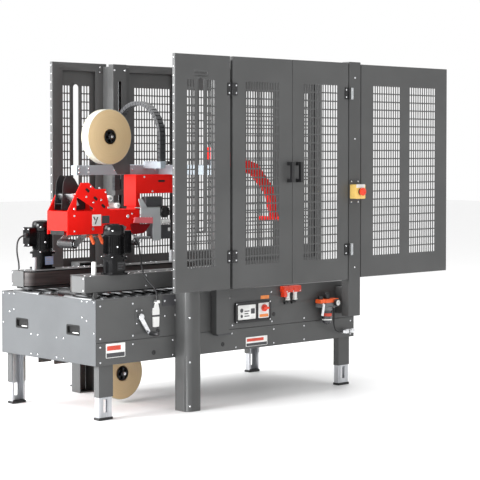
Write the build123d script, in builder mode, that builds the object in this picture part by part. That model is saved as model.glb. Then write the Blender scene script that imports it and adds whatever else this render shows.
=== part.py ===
from build123d import *
import math
import os

os.makedirs("parts", exist_ok=True)

# Carton sealing machine: a roller bed on telescopic legs, two side belt drives, an upper and a
# lower taping head, a lifting head carriage on two columns, and perforated guards with doors.
# Frame: +X from the exit end towards the infeed end, +Y from the operator's side ("near") to
# the other side ("far"), +Z up, origin on the floor under the middle of the machine.
# Lengths are millimetres. Places along the machine are given from the exit end plate by at().

# ---------------------------------------------------------------- driving dimensions
LENGTH = 2700.0            # exit end plate to the infeed edge of the wing guards
BED_LENGTH = 1982.0
BED_HALF = 419.5           # half of the bed's width, outside the covers
BED_BOTTOM = 288.0
BED_TOP = 631.0
SEAM = 408.0               # joint line between the side covers and the skirts
GUARD_OUT = 550.0          # outer face of the guards, from the middle plane
GUARD_DEPTH = 25.0         # depth of the folded guard trays
GUARD_BOTTOM = 650.0
GUARD_TOP = 1926.0
SHEET = 3.0                # sheet thickness of covers and guards
RUNNING = 0.05             # radial clearance of shafts in bores

EXIT = -LENGTH / 2
NEAR = -1
FAR = 1
SIDES = {"near": NEAR, "far": FAR}


def at(from_exit):
    """X of a place given as a distance from the exit end plate."""
    return EXIT + from_exit


def band(side, inner, outer):
    """Y limits, low to high, of a band between two distances from the middle plane."""
    return sorted((side * inner, side * outer))


def slab(x0, x1, y0, y1, z0, z1, mode=Mode.ADD):
    """Block between two corners; X counts from the exit end plate."""
    with Locations((at((x0 + x1) / 2), (y0 + y1) / 2, (z0 + z1) / 2)):
        Box(x1 - x0, y1 - y0, z1 - z0, mode=mode)


def rod_y(x, y0, y1, z, radius, mode=Mode.ADD):
    """Round bar across the machine."""
    with Locations((at(x), (y0 + y1) / 2, z)):
        Cylinder(radius, abs(y1 - y0), rotation=(90, 0, 0), mode=mode)


def rod_z(x, y, z0, z1, radius, mode=Mode.ADD):
    """Upright round bar."""
    with Locations((at(x), y, (z0 + z1) / 2)):
        Cylinder(radius, z1 - z0, mode=mode)


def side_plane(y):
    """Upright plane along the machine at one Y: local X along it, local Y up, facing -Y."""
    return Plane.XZ.offset(-y)


def save(piece, label):
    piece.part.label = label
    export_step(piece.part, f"parts/{label}.step")


# ---------------------------------------------------------------- bed frame
FRAME_HALF = 360.0
FRAME_BOTTOM = 300.0
DECK_UNDER = 625.0
FRAME_SHEET = 5.0
CROSS_PLATES = (25.0, 745.0, 1225.0, 1970.0)     # infeed face of each cross plate, from the exit

with BuildPart() as bed_frame:
    slab(CROSS_PLATES[0] - FRAME_SHEET, CROSS_PLATES[-1], -FRAME_HALF, FRAME_HALF, FRAME_BOTTOM, DECK_UNDER)
    for start, end in zip(CROSS_PLATES[:-1], CROSS_PLATES[1:]):
        inner = FRAME_HALF - FRAME_SHEET
        slab(start, end - FRAME_SHEET, -inner, inner, FRAME_BOTTOM - 1, DECK_UNDER + 1, Mode.SUBTRACT)
save(bed_frame, "bed_frame")

# ---------------------------------------------------------------- end plates
GRIP_CENTRE = 228.5
GRIP_WIDTH = 105.0
GRIP_LOW = 441.0
GRIP_HIGH = 488.0
GRIP_DEPTH = 15.0
GRIP_WALL = 1.5

with BuildPart() as end_plates:
    slab(0, SHEET, -BED_HALF, BED_HALF, BED_BOTTOM, BED_TOP)
    for side in SIDES.values():
        y0, y1 = band(side, GRIP_CENTRE - GRIP_WIDTH / 2, GRIP_CENTRE + GRIP_WIDTH / 2)
        slab(0, GRIP_DEPTH + GRIP_WALL, y0 - GRIP_WALL, y1 + GRIP_WALL, GRIP_LOW - GRIP_WALL, GRIP_HIGH + GRIP_WALL)
        slab(-1, GRIP_DEPTH, y0, y1, GRIP_LOW, GRIP_HIGH, Mode.SUBTRACT)
    slab(BED_LENGTH - SHEET, BED_LENGTH, -BED_HALF, BED_HALF, BED_BOTTOM, BED_TOP)
save(end_plates, "end_plates")

# ---------------------------------------------------------------- side covers and skirts
CRANK_X = 290.0
CRANK_Z = 528.0
CRANK_SHAFT = 8.0
CRANK_PLATE = 46.0
SOCKET_X = 406.0                    # cable socket of the near drive motor
SOCKET_Z = (468.0, 594.0)
SOCKET_TOP = 608.0                  # the thick end that takes the cable, clear of the crank's sweep
COVER_HOLES = ((422.0, 465.0), (575.0, 470.0), (1890.0, 560.0))     # from the exit, height
COVER_HOLE_RADIUS = 8.0
SKIRT_JOINT = 560.0
SKIRT_GAP = 4.0
COVER_FLANGE = 20.0

with BuildPart() as side_covers:
    for side in SIDES.values():
        y0, y1 = band(side, BED_HALF - SHEET, BED_HALF)
        slab(SHEET, BED_LENGTH - SHEET, y0, y1, SEAM + 1, BED_TOP)
        f0, f1 = band(side, BED_HALF - COVER_FLANGE, BED_HALF)
        slab(SHEET, BED_LENGTH - SHEET, f0, f1, BED_TOP - SHEET, BED_TOP)
        for x, z in COVER_HOLES:
            rod_y(x, side * (BED_HALF - 5), side * (BED_HALF + 1), z, COVER_HOLE_RADIUS, Mode.SUBTRACT)
    slab(CRANK_X - CRANK_PLATE / 2, CRANK_X + CRANK_PLATE / 2, -BED_HALF - 5, -BED_HALF + SHEET, 487, 567)
    slab(SOCKET_X - 18, SOCKET_X + 18, -BED_HALF - 8, -BED_HALF, *SOCKET_Z)
    slab(SOCKET_X - 9, SOCKET_X + 12, -BED_HALF - 24, -BED_HALF, SOCKET_Z[1], SOCKET_TOP)
    rod_y(CRANK_X, -BED_HALF - 6, -BED_HALF + 4, CRANK_Z, CRANK_SHAFT + RUNNING, Mode.SUBTRACT)
save(side_covers, "side_covers")

with BuildPart() as side_skirts:
    for side in SIDES.values():
        y0, y1 = band(side, BED_HALF - SHEET, BED_HALF)
        slab(SHEET, SKIRT_JOINT - SKIRT_GAP, y0, y1, BED_BOTTOM, SEAM - 1)
        slab(SKIRT_JOINT + SKIRT_GAP, BED_LENGTH - SHEET, y0, y1, BED_BOTTOM, SEAM - 1)
save(side_skirts, "side_skirts")

# ---------------------------------------------------------------- deck and rollers
HEAD_SLOT = (60.0, 700.0)          # deck opening over the lower taping head, along the bed
HEAD_SLOT_HALF = 97.0
ROLLER_RADIUS = 15.0
ROLLER_TOP = 640.0
ROLLER_PITCH = 80.0
LANE_INNER = 112.0                 # short rollers run beside the head slot
LANE_OUTER = 350.0
SHORT_ROLLERS = tuple(40.0 + ROLLER_PITCH * i for i in range(9))
LONG_ROLLERS = tuple(780.0 + ROLLER_PITCH * i for i in range(15))
ROLLER_Z = ROLLER_TOP - ROLLER_RADIUS
AXLE_RADIUS = 4.0
ROLLER_GAP = 3.0


def roller_places():
    """Every roller as its place along the bed and its two ends across it."""
    places = []
    for x in SHORT_ROLLERS:
        for side in SIDES.values():
            places.append((x, *band(side, LANE_INNER, LANE_OUTER)))
    for x in LONG_ROLLERS:
        places.append((x, -LANE_OUTER, LANE_OUTER))
    return places


with BuildPart() as top_deck:
    slab(SHEET, BED_LENGTH - SHEET, -BED_HALF + SHEET, BED_HALF - SHEET, DECK_UNDER, DECK_UNDER + SHEET)
    slab(*HEAD_SLOT, -HEAD_SLOT_HALF, HEAD_SLOT_HALF, DECK_UNDER - 1, BED_TOP, Mode.SUBTRACT)
    for x, y0, y1 in roller_places():
        reach = ROLLER_RADIUS + ROLLER_GAP
        slab(x - reach, x + reach, y0 - ROLLER_GAP, y1 + ROLLER_GAP, DECK_UNDER - 1, BED_TOP, Mode.SUBTRACT)
save(top_deck, "top_deck")

with BuildPart() as bed_rollers:
    for x, y0, y1 in roller_places():
        rod_y(x, y0, y1, ROLLER_Z, ROLLER_RADIUS)
        rod_y(x, y0 - ROLLER_GAP, y1 + ROLLER_GAP, ROLLER_Z, AXLE_RADIUS)
save(bed_rollers, "bed_rollers")

# ---------------------------------------------------------------- legs
LEG_WIDTH = 94.0
LEG_DEPTH = 43.0
LEG_OUT = 409.5                     # web of the outer leg, 10 mm inside the covers
LEG_TOP = 560.0
LEG_END = 120.0
LEG_SHEET = 3.0
LEG_CENTRES = {"exit": 76.0, "infeed": 1905.0}
INNER_CLEARANCE = 2.0
INNER_TOP = 330.0
FOOT_HEIGHT = 12.0
SCALE_SLOT = 14.0

with BuildPart() as outer_legs:
    for x in LEG_CENTRES.values():
        for side in SIDES.values():
            y0, y1 = band(side, LEG_OUT - LEG_DEPTH, LEG_OUT)
            slab(x - LEG_WIDTH / 2, x + LEG_WIDTH / 2, y0, y1, LEG_END, LEG_TOP)
            half = LEG_WIDTH / 2 - LEG_SHEET
            c0, c1 = band(side, LEG_OUT - LEG_DEPTH - 1, LEG_OUT - LEG_SHEET)
            slab(x - half, x + half, c0, c1, LEG_END - 1, LEG_TOP + 1, Mode.SUBTRACT)
save(outer_legs, "outer_legs")


def inner_leg(x, side):
    """Telescopic inner leg: a channel in the outer leg, on a foot plate, with a scale slot."""
    with BuildPart() as leg:
        half = LEG_WIDTH / 2 - LEG_SHEET - INNER_CLEARANCE
        out = LEG_OUT - LEG_SHEET - INNER_CLEARANCE
        back = LEG_OUT - LEG_DEPTH + INNER_CLEARANCE
        y0, y1 = band(side, back, out)
        slab(x - half, x + half, y0, y1, FOOT_HEIGHT, INNER_TOP)
        c0, c1 = band(side, back - 1, out - LEG_SHEET)
        slab(x - half + LEG_SHEET, x + half - LEG_SHEET, c0, c1, FOOT_HEIGHT, INNER_TOP + 1, Mode.SUBTRACT)
        s0, s1 = band(side, out - LEG_SHEET - 1, out + 1)
        slab(x - SCALE_SLOT, x + SCALE_SLOT, s0, s1, 40, 110, Mode.SUBTRACT)
        f0, f1 = band(side, back - 3, out + 3)
        slab(x - half - 3, x + half + 3, f0, f1, 0, FOOT_HEIGHT)
    return leg


for end, x in LEG_CENTRES.items():
    for side_name, side in SIDES.items():
        save(inner_leg(x, side), f"inner_leg_{end}_{side_name}")

# ---------------------------------------------------------------- corner posts
POST_X = (546.0, 658.0)
POST_OUT = GUARD_OUT - GUARD_DEPTH
POST_TOP = 760.0
POST_CORNER = 38.0
POST_WALL = 5.0
POST_FOOT = 6.0                     # foot plate and cap of the open channel

with BuildPart() as corner_posts:
    for side in SIDES.values():
        y0, y1 = band(side, BED_HALF, POST_OUT)
        slab(*POST_X, y0, y1, 0, POST_TOP)
        uprights = corner_posts.edges().filter_by(Axis.Z)
        outer_edges = [edge for edge in uprights if abs(edge.center().Y - side * POST_OUT) < 1]
        fillet(outer_edges, POST_CORNER)
        w0, w1 = band(side, BED_HALF - 1, POST_OUT - POST_CORNER / 2)
        slab(POST_X[0] + POST_WALL, POST_X[1] - POST_WALL, w0, w1, POST_FOOT, POST_TOP - POST_FOOT, Mode.SUBTRACT)
save(corner_posts, "corner_posts")

# ---------------------------------------------------------------- head columns and guide rods
CHAIN_ENDS = (1350.0, 1180.0)       # moving end on the beam, fixed end beside the far column
COLUMN_X = (805.0, 905.0)
COLUMN_IN = 427.0
COLUMN_OUT = 471.0
COLUMN_WALL = 4.0
COLUMN_Z = (396.0, 1920.0)
ROD_X = 855.0
ROD_Y = 449.0
ROD_RADIUS = 10.0
ROD_Z = (700.0, 1900.0)
TONGUE_HALF = 10.0
SLOT_HALF = 13.0

with BuildPart() as head_columns:
    for side in SIDES.values():
        slab(*COLUMN_X, *band(side, COLUMN_IN, COLUMN_OUT), *COLUMN_Z)
        hollow = band(side, COLUMN_IN + COLUMN_WALL, COLUMN_OUT - COLUMN_WALL)
        slab(COLUMN_X[0] + COLUMN_WALL, COLUMN_X[1] - COLUMN_WALL, *hollow, ROD_Z[0], ROD_Z[1], Mode.SUBTRACT)
        slot = band(side, COLUMN_IN - 1, COLUMN_IN + COLUMN_WALL + 1)
        slab(ROD_X - SLOT_HALF, ROD_X + SLOT_HALF, *slot, 960, 1820, Mode.SUBTRACT)
        foot = band(side, BED_HALF, COLUMN_IN)
        slab(COLUMN_X[0] + 10, COLUMN_X[1] - 10, *foot, SEAM + 10, BED_TOP - 20)
        rod_z(ROD_X, side * ROD_Y, *ROD_Z, ROD_RADIUS)
    slab(715, 812, 300, 320, CHAIN_ENDS[1] - 30, CHAIN_ENDS[1])
    slab(798, 812, 300, COLUMN_IN + 1, CHAIN_ENDS[1] - 30, CHAIN_ENDS[1])
save(head_columns, "head_columns")

# ---------------------------------------------------------------- guard posts
INFEED_POST_X = (1795.0, 1896.0)
INFEED_POST_IN = 490.0
HINGE_POST_IN = 472.0
HINGE_POST_X = {"near": (806.0, 848.0), "far": (806.0, 966.0)}
HINGE_POST_Z = (650.0, 1908.0)
GUARD_POST_Z = (430.0, 1933.0)
BRACKET_Z = (440.0, 600.0)
TUBE_WALL = 4.0


def square_tube(x0, x1, y0, y1, z0, z1):
    """Upright rectangular tube, capped at both ends."""
    wall = TUBE_WALL
    slab(x0, x1, y0, y1, z0, z1)
    slab(x0 + wall, x1 - wall, y0 + wall, y1 - wall, z0 + wall, z1 - wall, Mode.SUBTRACT)


with BuildPart() as guard_posts:
    for side_name, side in SIDES.items():
        square_tube(*INFEED_POST_X, *band(side, INFEED_POST_IN, GUARD_OUT), *GUARD_POST_Z)
        slab(INFEED_POST_X[0] + 20, INFEED_POST_X[1] - 20, *band(side, BED_HALF, INFEED_POST_IN), *BRACKET_Z)
        hinge_post = band(side, HINGE_POST_IN, GUARD_OUT - GUARD_DEPTH)
        square_tube(*HINGE_POST_X[side_name], *hinge_post, *HINGE_POST_Z)
save(guard_posts, "guard_posts")

# ---------------------------------------------------------------- perforated guards
SLOT_PITCH_X = 20.7
SLOT_PITCH_Z = 48.5
SLOT_WIDTH = 13.0
SLOT_HEIGHT = 42.0
MESH_ROWS = 21
MESH_CENTRE_Z = 1285.0
TALL_SLOT_WIDTH = 39.0


def tray(side, x0, x1, z0, z1):
    """Folded guard panel: a sheet with its edges turned inwards."""
    slab(x0, x1, *band(side, GUARD_OUT - GUARD_DEPTH, GUARD_OUT), z0, z1)
    inside = band(side, GUARD_OUT - GUARD_DEPTH - 1, GUARD_OUT - SHEET)
    slab(x0 + SHEET, x1 - SHEET, *inside, z0 + SHEET, z1 - SHEET, Mode.SUBTRACT)


def pierce(side, x, z, columns, rows, width=SLOT_WIDTH, height=SLOT_HEIGHT):
    """Grid of upright slots through a guard sheet, centred at one place."""
    with BuildSketch(side_plane(side * (GUARD_OUT + 1))) as slots:
        with Locations((at(x), z)):
            with GridLocations(SLOT_PITCH_X, SLOT_PITCH_Z, columns, rows):
                Rectangle(width, height)
    extrude(slots.sketch, amount=side * (SHEET + 2), mode=Mode.SUBTRACT)


EXIT_GUARD_X = (434.0, 804.0)
EXIT_GUARD_MESH = 620.0            # middle of the exit guard's perforation
LOW_ROWS = 4
SIDE_COLUMNS = 3

with BuildPart() as exit_guards:
    for side in SIDES.values():
        tray(side, EXIT_GUARD_X[0], 836.0, GUARD_BOTTOM, GUARD_TOP)
        low_centre = MESH_CENTRE_Z - (MESH_ROWS - LOW_ROWS) / 2 * SLOT_PITCH_Z
        pierce(side, EXIT_GUARD_MESH, low_centre, 10, LOW_ROWS)
        high_centre = MESH_CENTRE_Z + LOW_ROWS / 2 * SLOT_PITCH_Z
        for direction in (-1, 1):
            middle = EXIT_GUARD_MESH + direction * 3.5 * SLOT_PITCH_X
            pierce(side, middle, high_centre, SIDE_COLUMNS, MESH_ROWS - LOW_ROWS)
        with BuildSketch(side_plane(side * (GUARD_OUT + 1))):
            with Locations((at(EXIT_GUARD_MESH), (962 + 1800) / 2)):
                SlotOverall(1800 - 962, TALL_SLOT_WIDTH, rotation=90)
            if side == NEAR:
                with Locations((at(EXIT_GUARD_MESH), 1828)):
                    Rectangle(91, 10)
        extrude(amount=side * (SHEET + 2), mode=Mode.SUBTRACT)
save(exit_guards, "exit_guards")

WING_X = (1901.0, 2700.0)
WING_Z = (658.0, 1921.0)
WING_WINDOWS = ((2129.0, 12), (2463.0, 12))

with BuildPart() as wing_guards:
    for side in SIDES.values():
        tray(side, *WING_X, *WING_Z)
        for x, columns in WING_WINDOWS:
            pierce(side, x, MESH_CENTRE_Z + 5, columns, MESH_ROWS)
save(wing_guards, "wing_guards")

# ---------------------------------------------------------------- doors
DOOR_GAP = 4.0
HINGE_OFFSET = 8.0                  # hinge pin outside the guard's outer face
HINGE_HEIGHTS = (828.0, 1746.0)
HINGE_HALF = 34.0
LEAF = 4.0
KNUCKLE_RADIUS = 7.0
PIN_RADIUS = 3.5
HANDLE_Z = (1230.0, 1346.0)
HANDLE_BAR = 18.0
HANDLE_REACH = 42.0

# name: side, hinge axis, free edge, middle of the perforation, its columns
DOORS = {
    "door_near_exit": (NEAR, 850.0, 1319.0, 1081.5, 13),
    "door_near_infeed": (NEAR, 1792.0, 1321.0, 1552.0, 14),
    "door_far_exit": (FAR, 968.0, 1380.0, 1208.0, 14),
    "door_far_infeed": (FAR, 1792.0, 1382.0, 1552.0, 14),
}


def door(side, hinge_x, free_x, mesh_x, columns):
    """Door leaf: a perforated tray that stops short of its hinge pin and of its neighbour."""
    inward = 1 if free_x > hinge_x else -1
    edges = sorted((hinge_x + inward * DOOR_GAP, free_x))
    with BuildPart() as leaf:
        tray(side, *edges, GUARD_BOTTOM, GUARD_TOP)
        pierce(side, mesh_x, MESH_CENTRE_Z, columns, MESH_ROWS)
    return leaf


def door_fittings(side, hinge_x, free_x):
    """Pull handle and the two moving hinge leaves of one door."""
    inward = 1 if free_x > hinge_x else -1
    pin_y = side * (GUARD_OUT + HINGE_OFFSET)
    with BuildPart() as fittings:
        grip_x = free_x - inward * 34
        half = HANDLE_BAR / 2
        slab(grip_x - half, grip_x + half, *band(side, GUARD_OUT, GUARD_OUT + HANDLE_REACH), *HANDLE_Z)
        gap = band(side, GUARD_OUT - 1, GUARD_OUT + HANDLE_REACH - HANDLE_BAR)
        slab(grip_x - half - 1, grip_x + half + 1, *gap, HANDLE_Z[0] + 20, HANDLE_Z[1] - 20, Mode.SUBTRACT)
        for z in HINGE_HEIGHTS:
            leaf = sorted((hinge_x + inward * 2, hinge_x + inward * 35))
            slab(*leaf, *band(side, GUARD_OUT, GUARD_OUT + LEAF), z + 1, z + HINGE_HALF)
            slab(*sorted((hinge_x, hinge_x + inward * 8)), *band(side, GUARD_OUT, GUARD_OUT + 9), z + 1, z + HINGE_HALF)
            rod_z(hinge_x, pin_y, z + 1, z + HINGE_HALF, KNUCKLE_RADIUS)
            rod_z(hinge_x, pin_y, z, z + HINGE_HALF + 1, PIN_RADIUS + RUNNING, Mode.SUBTRACT)
    return fittings


for door_name, (side, hinge_x, free_x, mesh_x, columns) in DOORS.items():
    save(door(side, hinge_x, free_x, mesh_x, columns), door_name)
    save(door_fittings(side, hinge_x, free_x), door_name.replace("door", "fittings"))

with BuildPart() as door_hinges:
    for side, hinge_x, free_x, mesh_x, columns in DOORS.values():
        outward = -1 if free_x > hinge_x else 1
        pin_y = side * (GUARD_OUT + HINGE_OFFSET)
        for z in HINGE_HEIGHTS:
            leaf = sorted((hinge_x + outward * 2, hinge_x + outward * 35))
            slab(*leaf, *band(side, GUARD_OUT, GUARD_OUT + LEAF), z - HINGE_HALF, z)
            ear = sorted((hinge_x, hinge_x + outward * 8))
            slab(*ear, *band(side, GUARD_OUT, GUARD_OUT + 9), z - HINGE_HALF, z)
            rod_z(hinge_x, pin_y, z - HINGE_HALF, z, KNUCKLE_RADIUS)
            rod_z(hinge_x, pin_y, z - HINGE_HALF, z + HINGE_HALF, PIN_RADIUS)
save(door_hinges, "door_hinges")

# ---------------------------------------------------------------- controls and air supply
PANEL_X = (988.0, 1268.0)
PANEL_Z = (438.0, 555.0)
SWITCH_X = 1214.0
SWITCH_Z = 513.0
ESTOP_X = 1841.0
ESTOP_Z = 1169.0
ESTOP_HALF = 42.0
ESTOP_DEPTH = 50.0
BUTTON_SHAFT = 11.0

with BuildPart() as control_panel:
    y0, y1 = band(NEAR, BED_HALF, BED_HALF + 12)
    slab(*PANEL_X, y0, y1, *PANEL_Z)
    fillet(control_panel.edges().filter_by(Axis.Y), 14)
    slab(PANEL_X[0] + 12, PANEL_X[1] - 12, y0 - 1, y0 + 8, PANEL_Z[0] + 12, PANEL_Z[1] - 12, Mode.SUBTRACT)
    rod_y(SWITCH_X, y0, y1 + 1, SWITCH_Z, 5 + RUNNING, Mode.SUBTRACT)
save(control_panel, "control_panel")

with BuildPart() as main_switch_knob:
    knob_y = -BED_HALF - 4.5
    rod_y(SWITCH_X, knob_y - 12, knob_y, SWITCH_Z, 20)
    slab(SWITCH_X - 22, SWITCH_X + 22, knob_y - 26, knob_y - 11, SWITCH_Z - 6, SWITCH_Z + 6)
    rod_y(SWITCH_X, knob_y, -BED_HALF - 0.3, SWITCH_Z, 5)
save(main_switch_knob, "main_switch_knob")

with BuildPart() as estop_boxes:
    for side in SIDES.values():
        y0, y1 = band(side, GUARD_OUT, GUARD_OUT + ESTOP_DEPTH)
        slab(ESTOP_X - ESTOP_HALF, ESTOP_X + ESTOP_HALF, y0, y1, ESTOP_Z - ESTOP_HALF, ESTOP_Z + ESTOP_HALF)
        fillet(estop_boxes.edges().filter_by(Axis.Y).filter_by(lambda e: e.center().Y * side > 0), 6)
        bore_end = side * (GUARD_OUT + 30)
        rod_y(ESTOP_X, bore_end, side * (GUARD_OUT + ESTOP_DEPTH + 1), ESTOP_Z, BUTTON_SHAFT + RUNNING, Mode.SUBTRACT)
save(estop_boxes, "estop_boxes")

for side_name, side in SIDES.items():
    face = GUARD_OUT + ESTOP_DEPTH
    with BuildPart() as estop_button:
        rod_y(ESTOP_X, side * (face - 12), side * (face + 14), ESTOP_Z, BUTTON_SHAFT)
        rod_y(ESTOP_X, side * (face + 12), side * (face + 28), ESTOP_Z, 23)
        crown = estop_button.faces().sort_by(Axis.Y)[-1 if side > 0 else 0]
        fillet(crown.edges(), 7)
    save(estop_button, f"estop_button_{side_name}")

with BuildPart() as valve_manifold:
    y0, y1 = band(NEAR, BED_HALF, BED_HALF + 36)
    slab(1350, 1490, y0, y1, 566, 628)
    for x in (1395, 1455):
        rod_z(x, (y0 + y1) / 2, 530, 566, 13)
save(valve_manifold, "valve_manifold")

SERVICE_X = 1700.0
SERVICE_Y = -BED_HALF - 42
COUPLING_X = (1835.0, 1940.0)       # quick coupling of the compressed-air supply
COUPLING_Z = 330.0
with BuildPart() as air_service_unit:
    slab(SERVICE_X - 75, SERVICE_X + 78, SERVICE_Y - 24, SERVICE_Y + 24, 490, 536)
    slab(SERVICE_X - 20, SERVICE_X + 20, SERVICE_Y + 10, -BED_HALF, 500, 530)
    rod_z(SERVICE_X, SERVICE_Y, 384, 490, 31)
    fillet(air_service_unit.faces().sort_by(Axis.Z)[0].edges(), 12)
    rod_y(SERVICE_X + 52, SERVICE_Y - 46, SERVICE_Y - 23, 512, 21)
    rod_z(SERVICE_X, SERVICE_Y, 520, 537, 6 + RUNNING, Mode.SUBTRACT)
    with Locations((at((COUPLING_X[0] + COUPLING_X[1]) / 2), SERVICE_Y, COUPLING_Z)):
        Cylinder(14, COUPLING_X[1] - COUPLING_X[0], rotation=(0, 90, 0))
    slab(1880, 1892, SERVICE_Y - 14, -BED_HALF, COUPLING_Z - 10, COUPLING_Z + 10)
save(air_service_unit, "air_service_unit")

with BuildPart() as regulator_knob:
    rod_z(SERVICE_X, SERVICE_Y, 521, 540, 6)
    rod_z(SERVICE_X, SERVICE_Y, 538, 572, 19)
    fillet(regulator_knob.faces().sort_by(Axis.Z)[-1].edges(), 4)
save(regulator_knob, "regulator_knob")

# hand crank that sets the width between the side drives
with BuildPart() as hand_crank:
    arm_y = -BED_HALF - 10
    rod_y(CRANK_X, -BED_HALF + 30, arm_y - 10, CRANK_Z, CRANK_SHAFT)
    rod_y(CRANK_X, arm_y - 18, arm_y + 2, CRANK_Z, 17)
    with BuildSketch(side_plane(arm_y - 8)):
        with Locations((at(CRANK_X + 31), CRANK_Z - 46)):
            SlotCenterToCenter(111, 22, rotation=-56)
    extrude(amount=8)
    grip_y = arm_y - 16
    rod_y(CRANK_X + 62, grip_y - 66, grip_y + 4, CRANK_Z - 92, 13)
save(hand_crank, "hand_crank")

# ---------------------------------------------------------------- side belt drives
DRIVE_OUT = 326.0
DRIVE_IN = 257.0
DRIVE_Z = (663.0, 750.0)
DRIVE_X = (0.0, 1252.0)
DRIVE_SHEET = 3.0
PULLEY_Y = 213.0
PULLEY_RADIUS = 36.0
BELT_THICK = 4.0
BELT_CLEAR = 0.3
PULLEY_X = {"exit": 46.0, "infeed": 1210.0}
END_CAP_IN = 215.0                  # the exit end cap reaches in front of the belt
AXLE = 10.0
BELT_Z = (669.0, 744.0)
BED_PLATE_IN = 178.5
MOTOR_X = {NEAR: 216.0, FAR: 196.0}
MOTOR_Y = 305.0
GEARBOX_HALF = 54.0
MOTOR_RADIUS = 59.0
DRIVE_FEET = ((66.0, 94.0), (714.0, 746.0), (1122.0, 1158.0))


def drive_housing(side):
    """Drive body: a channel behind the belt with top and bottom plates that hold the axles."""
    with BuildPart() as housing:
        slab(*DRIVE_X, *band(side, DRIVE_IN, DRIVE_OUT), *DRIVE_Z)
        hollow = band(side, DRIVE_IN - 1, DRIVE_OUT - DRIVE_SHEET)
        slab(DRIVE_X[0] + DRIVE_SHEET, DRIVE_X[1] - DRIVE_SHEET, *hollow,
             DRIVE_Z[0] + DRIVE_SHEET, DRIVE_Z[1] - DRIVE_SHEET, Mode.SUBTRACT)
        slab(DRIVE_X[0], DRIVE_X[0] + DRIVE_SHEET, *band(side, END_CAP_IN, DRIVE_IN + 1), *DRIVE_Z)
        plates = ((DRIVE_Z[0], DRIVE_Z[0] + DRIVE_SHEET), (DRIVE_Z[1] - DRIVE_SHEET, DRIVE_Z[1]))
        for plate in plates:
            slab(PULLEY_X["exit"] - 18, PULLEY_X["infeed"] + 18, *band(side, 190, DRIVE_IN + 1), *plate)
        slab(90, 1150, *band(side, BED_PLATE_IN, BED_PLATE_IN + 12), DRIVE_Z[0] + 8, DRIVE_Z[1] - 8)
        for x in (120, 620, 1120):
            slab(x - 3, x + 3, *band(side, BED_PLATE_IN, 247), DRIVE_Z[0], DRIVE_Z[1])
        for x in PULLEY_X.values():
            rod_z(x, side * PULLEY_Y, *DRIVE_Z, AXLE)
        for foot in DRIVE_FEET:
            slab(*foot, *band(side, 262, 320), BED_TOP - 1, DRIVE_Z[0] + 1)
    return housing


def drive_belt(side):
    """Flat belt round the two pulleys of one drive."""
    with BuildPart() as belt:
        with BuildSketch(Plane.XY.offset(BELT_Z[0])):
            middle = at((PULLEY_X["exit"] + PULLEY_X["infeed"]) / 2)
            reach = PULLEY_X["infeed"] - PULLEY_X["exit"]
            inner = PULLEY_RADIUS + BELT_CLEAR
            with Locations((middle, side * PULLEY_Y)):
                SlotCenterToCenter(reach, 2 * (inner + BELT_THICK))
                SlotCenterToCenter(reach, 2 * inner, mode=Mode.SUBTRACT)
        extrude(amount=BELT_Z[1] - BELT_Z[0])
    return belt


def drive_pulley(side, x):
    with BuildPart() as pulley:
        rod_z(x, side * PULLEY_Y, BELT_Z[0], BELT_Z[1], PULLEY_RADIUS)
        rod_z(x, side * PULLEY_Y, BELT_Z[0] - 1, BELT_Z[1] + 1, AXLE + RUNNING, Mode.SUBTRACT)
    return pulley


def gearmotor(side):
    """Upright motor on a square gearbox, with its terminal box."""
    with BuildPart() as motor:
        low = DRIVE_Z[1]
        gearbox_top = low + 96
        middle = MOTOR_X[side]
        slab(middle - GEARBOX_HALF, middle + GEARBOX_HALF,
             *band(side, MOTOR_Y - GEARBOX_HALF, MOTOR_Y + GEARBOX_HALF), low, gearbox_top)
        fillet(motor.edges().filter_by(Axis.Z), 14)
        rod_z(middle, side * MOTOR_Y, gearbox_top, 1020, MOTOR_RADIUS)
        fillet(motor.faces().sort_by(Axis.Z)[-1].edges(), 14)
        if side == NEAR:
            slab(middle + 50, middle + 98, -MOTOR_Y - 30, -MOTOR_Y + 30, 862, 985)
        else:
            slab(middle - 106, middle - 50, MOTOR_Y - 22, MOTOR_Y + 42, 876, 985)
    return motor


for side_name, side in SIDES.items():
    save(drive_housing(side), f"drive_housing_{side_name}")
    save(drive_belt(side), f"drive_belt_{side_name}")
    save(gearmotor(side), f"gearmotor_{side_name}")
    for end, x in PULLEY_X.items():
        save(drive_pulley(side, x), f"pulley_{end}_{side_name}")

# ---------------------------------------------------------------- head carriage
BEAM_Z = (1275.0, 1328.0)
BEAM_Y = (42.0, 92.0)
BEAM_START = 235.0
CROSSBAR_X = (825.0, 885.0)
CROSSBAR_HALF = 421.0
BLOCK_HALF_X = 24.0
BLOCK_HALF_Y = 16.0
BLOCK_Z = (1240.0, 1362.0)
KICKER_X = 1210.0
KICKER_Z = 1400.0
KICKER_BEAM_END = 1236.0
ARM_X = 578.0
ARM_HALF = 52.0
ARM_Z = (1169.0, 1275.0)

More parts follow.
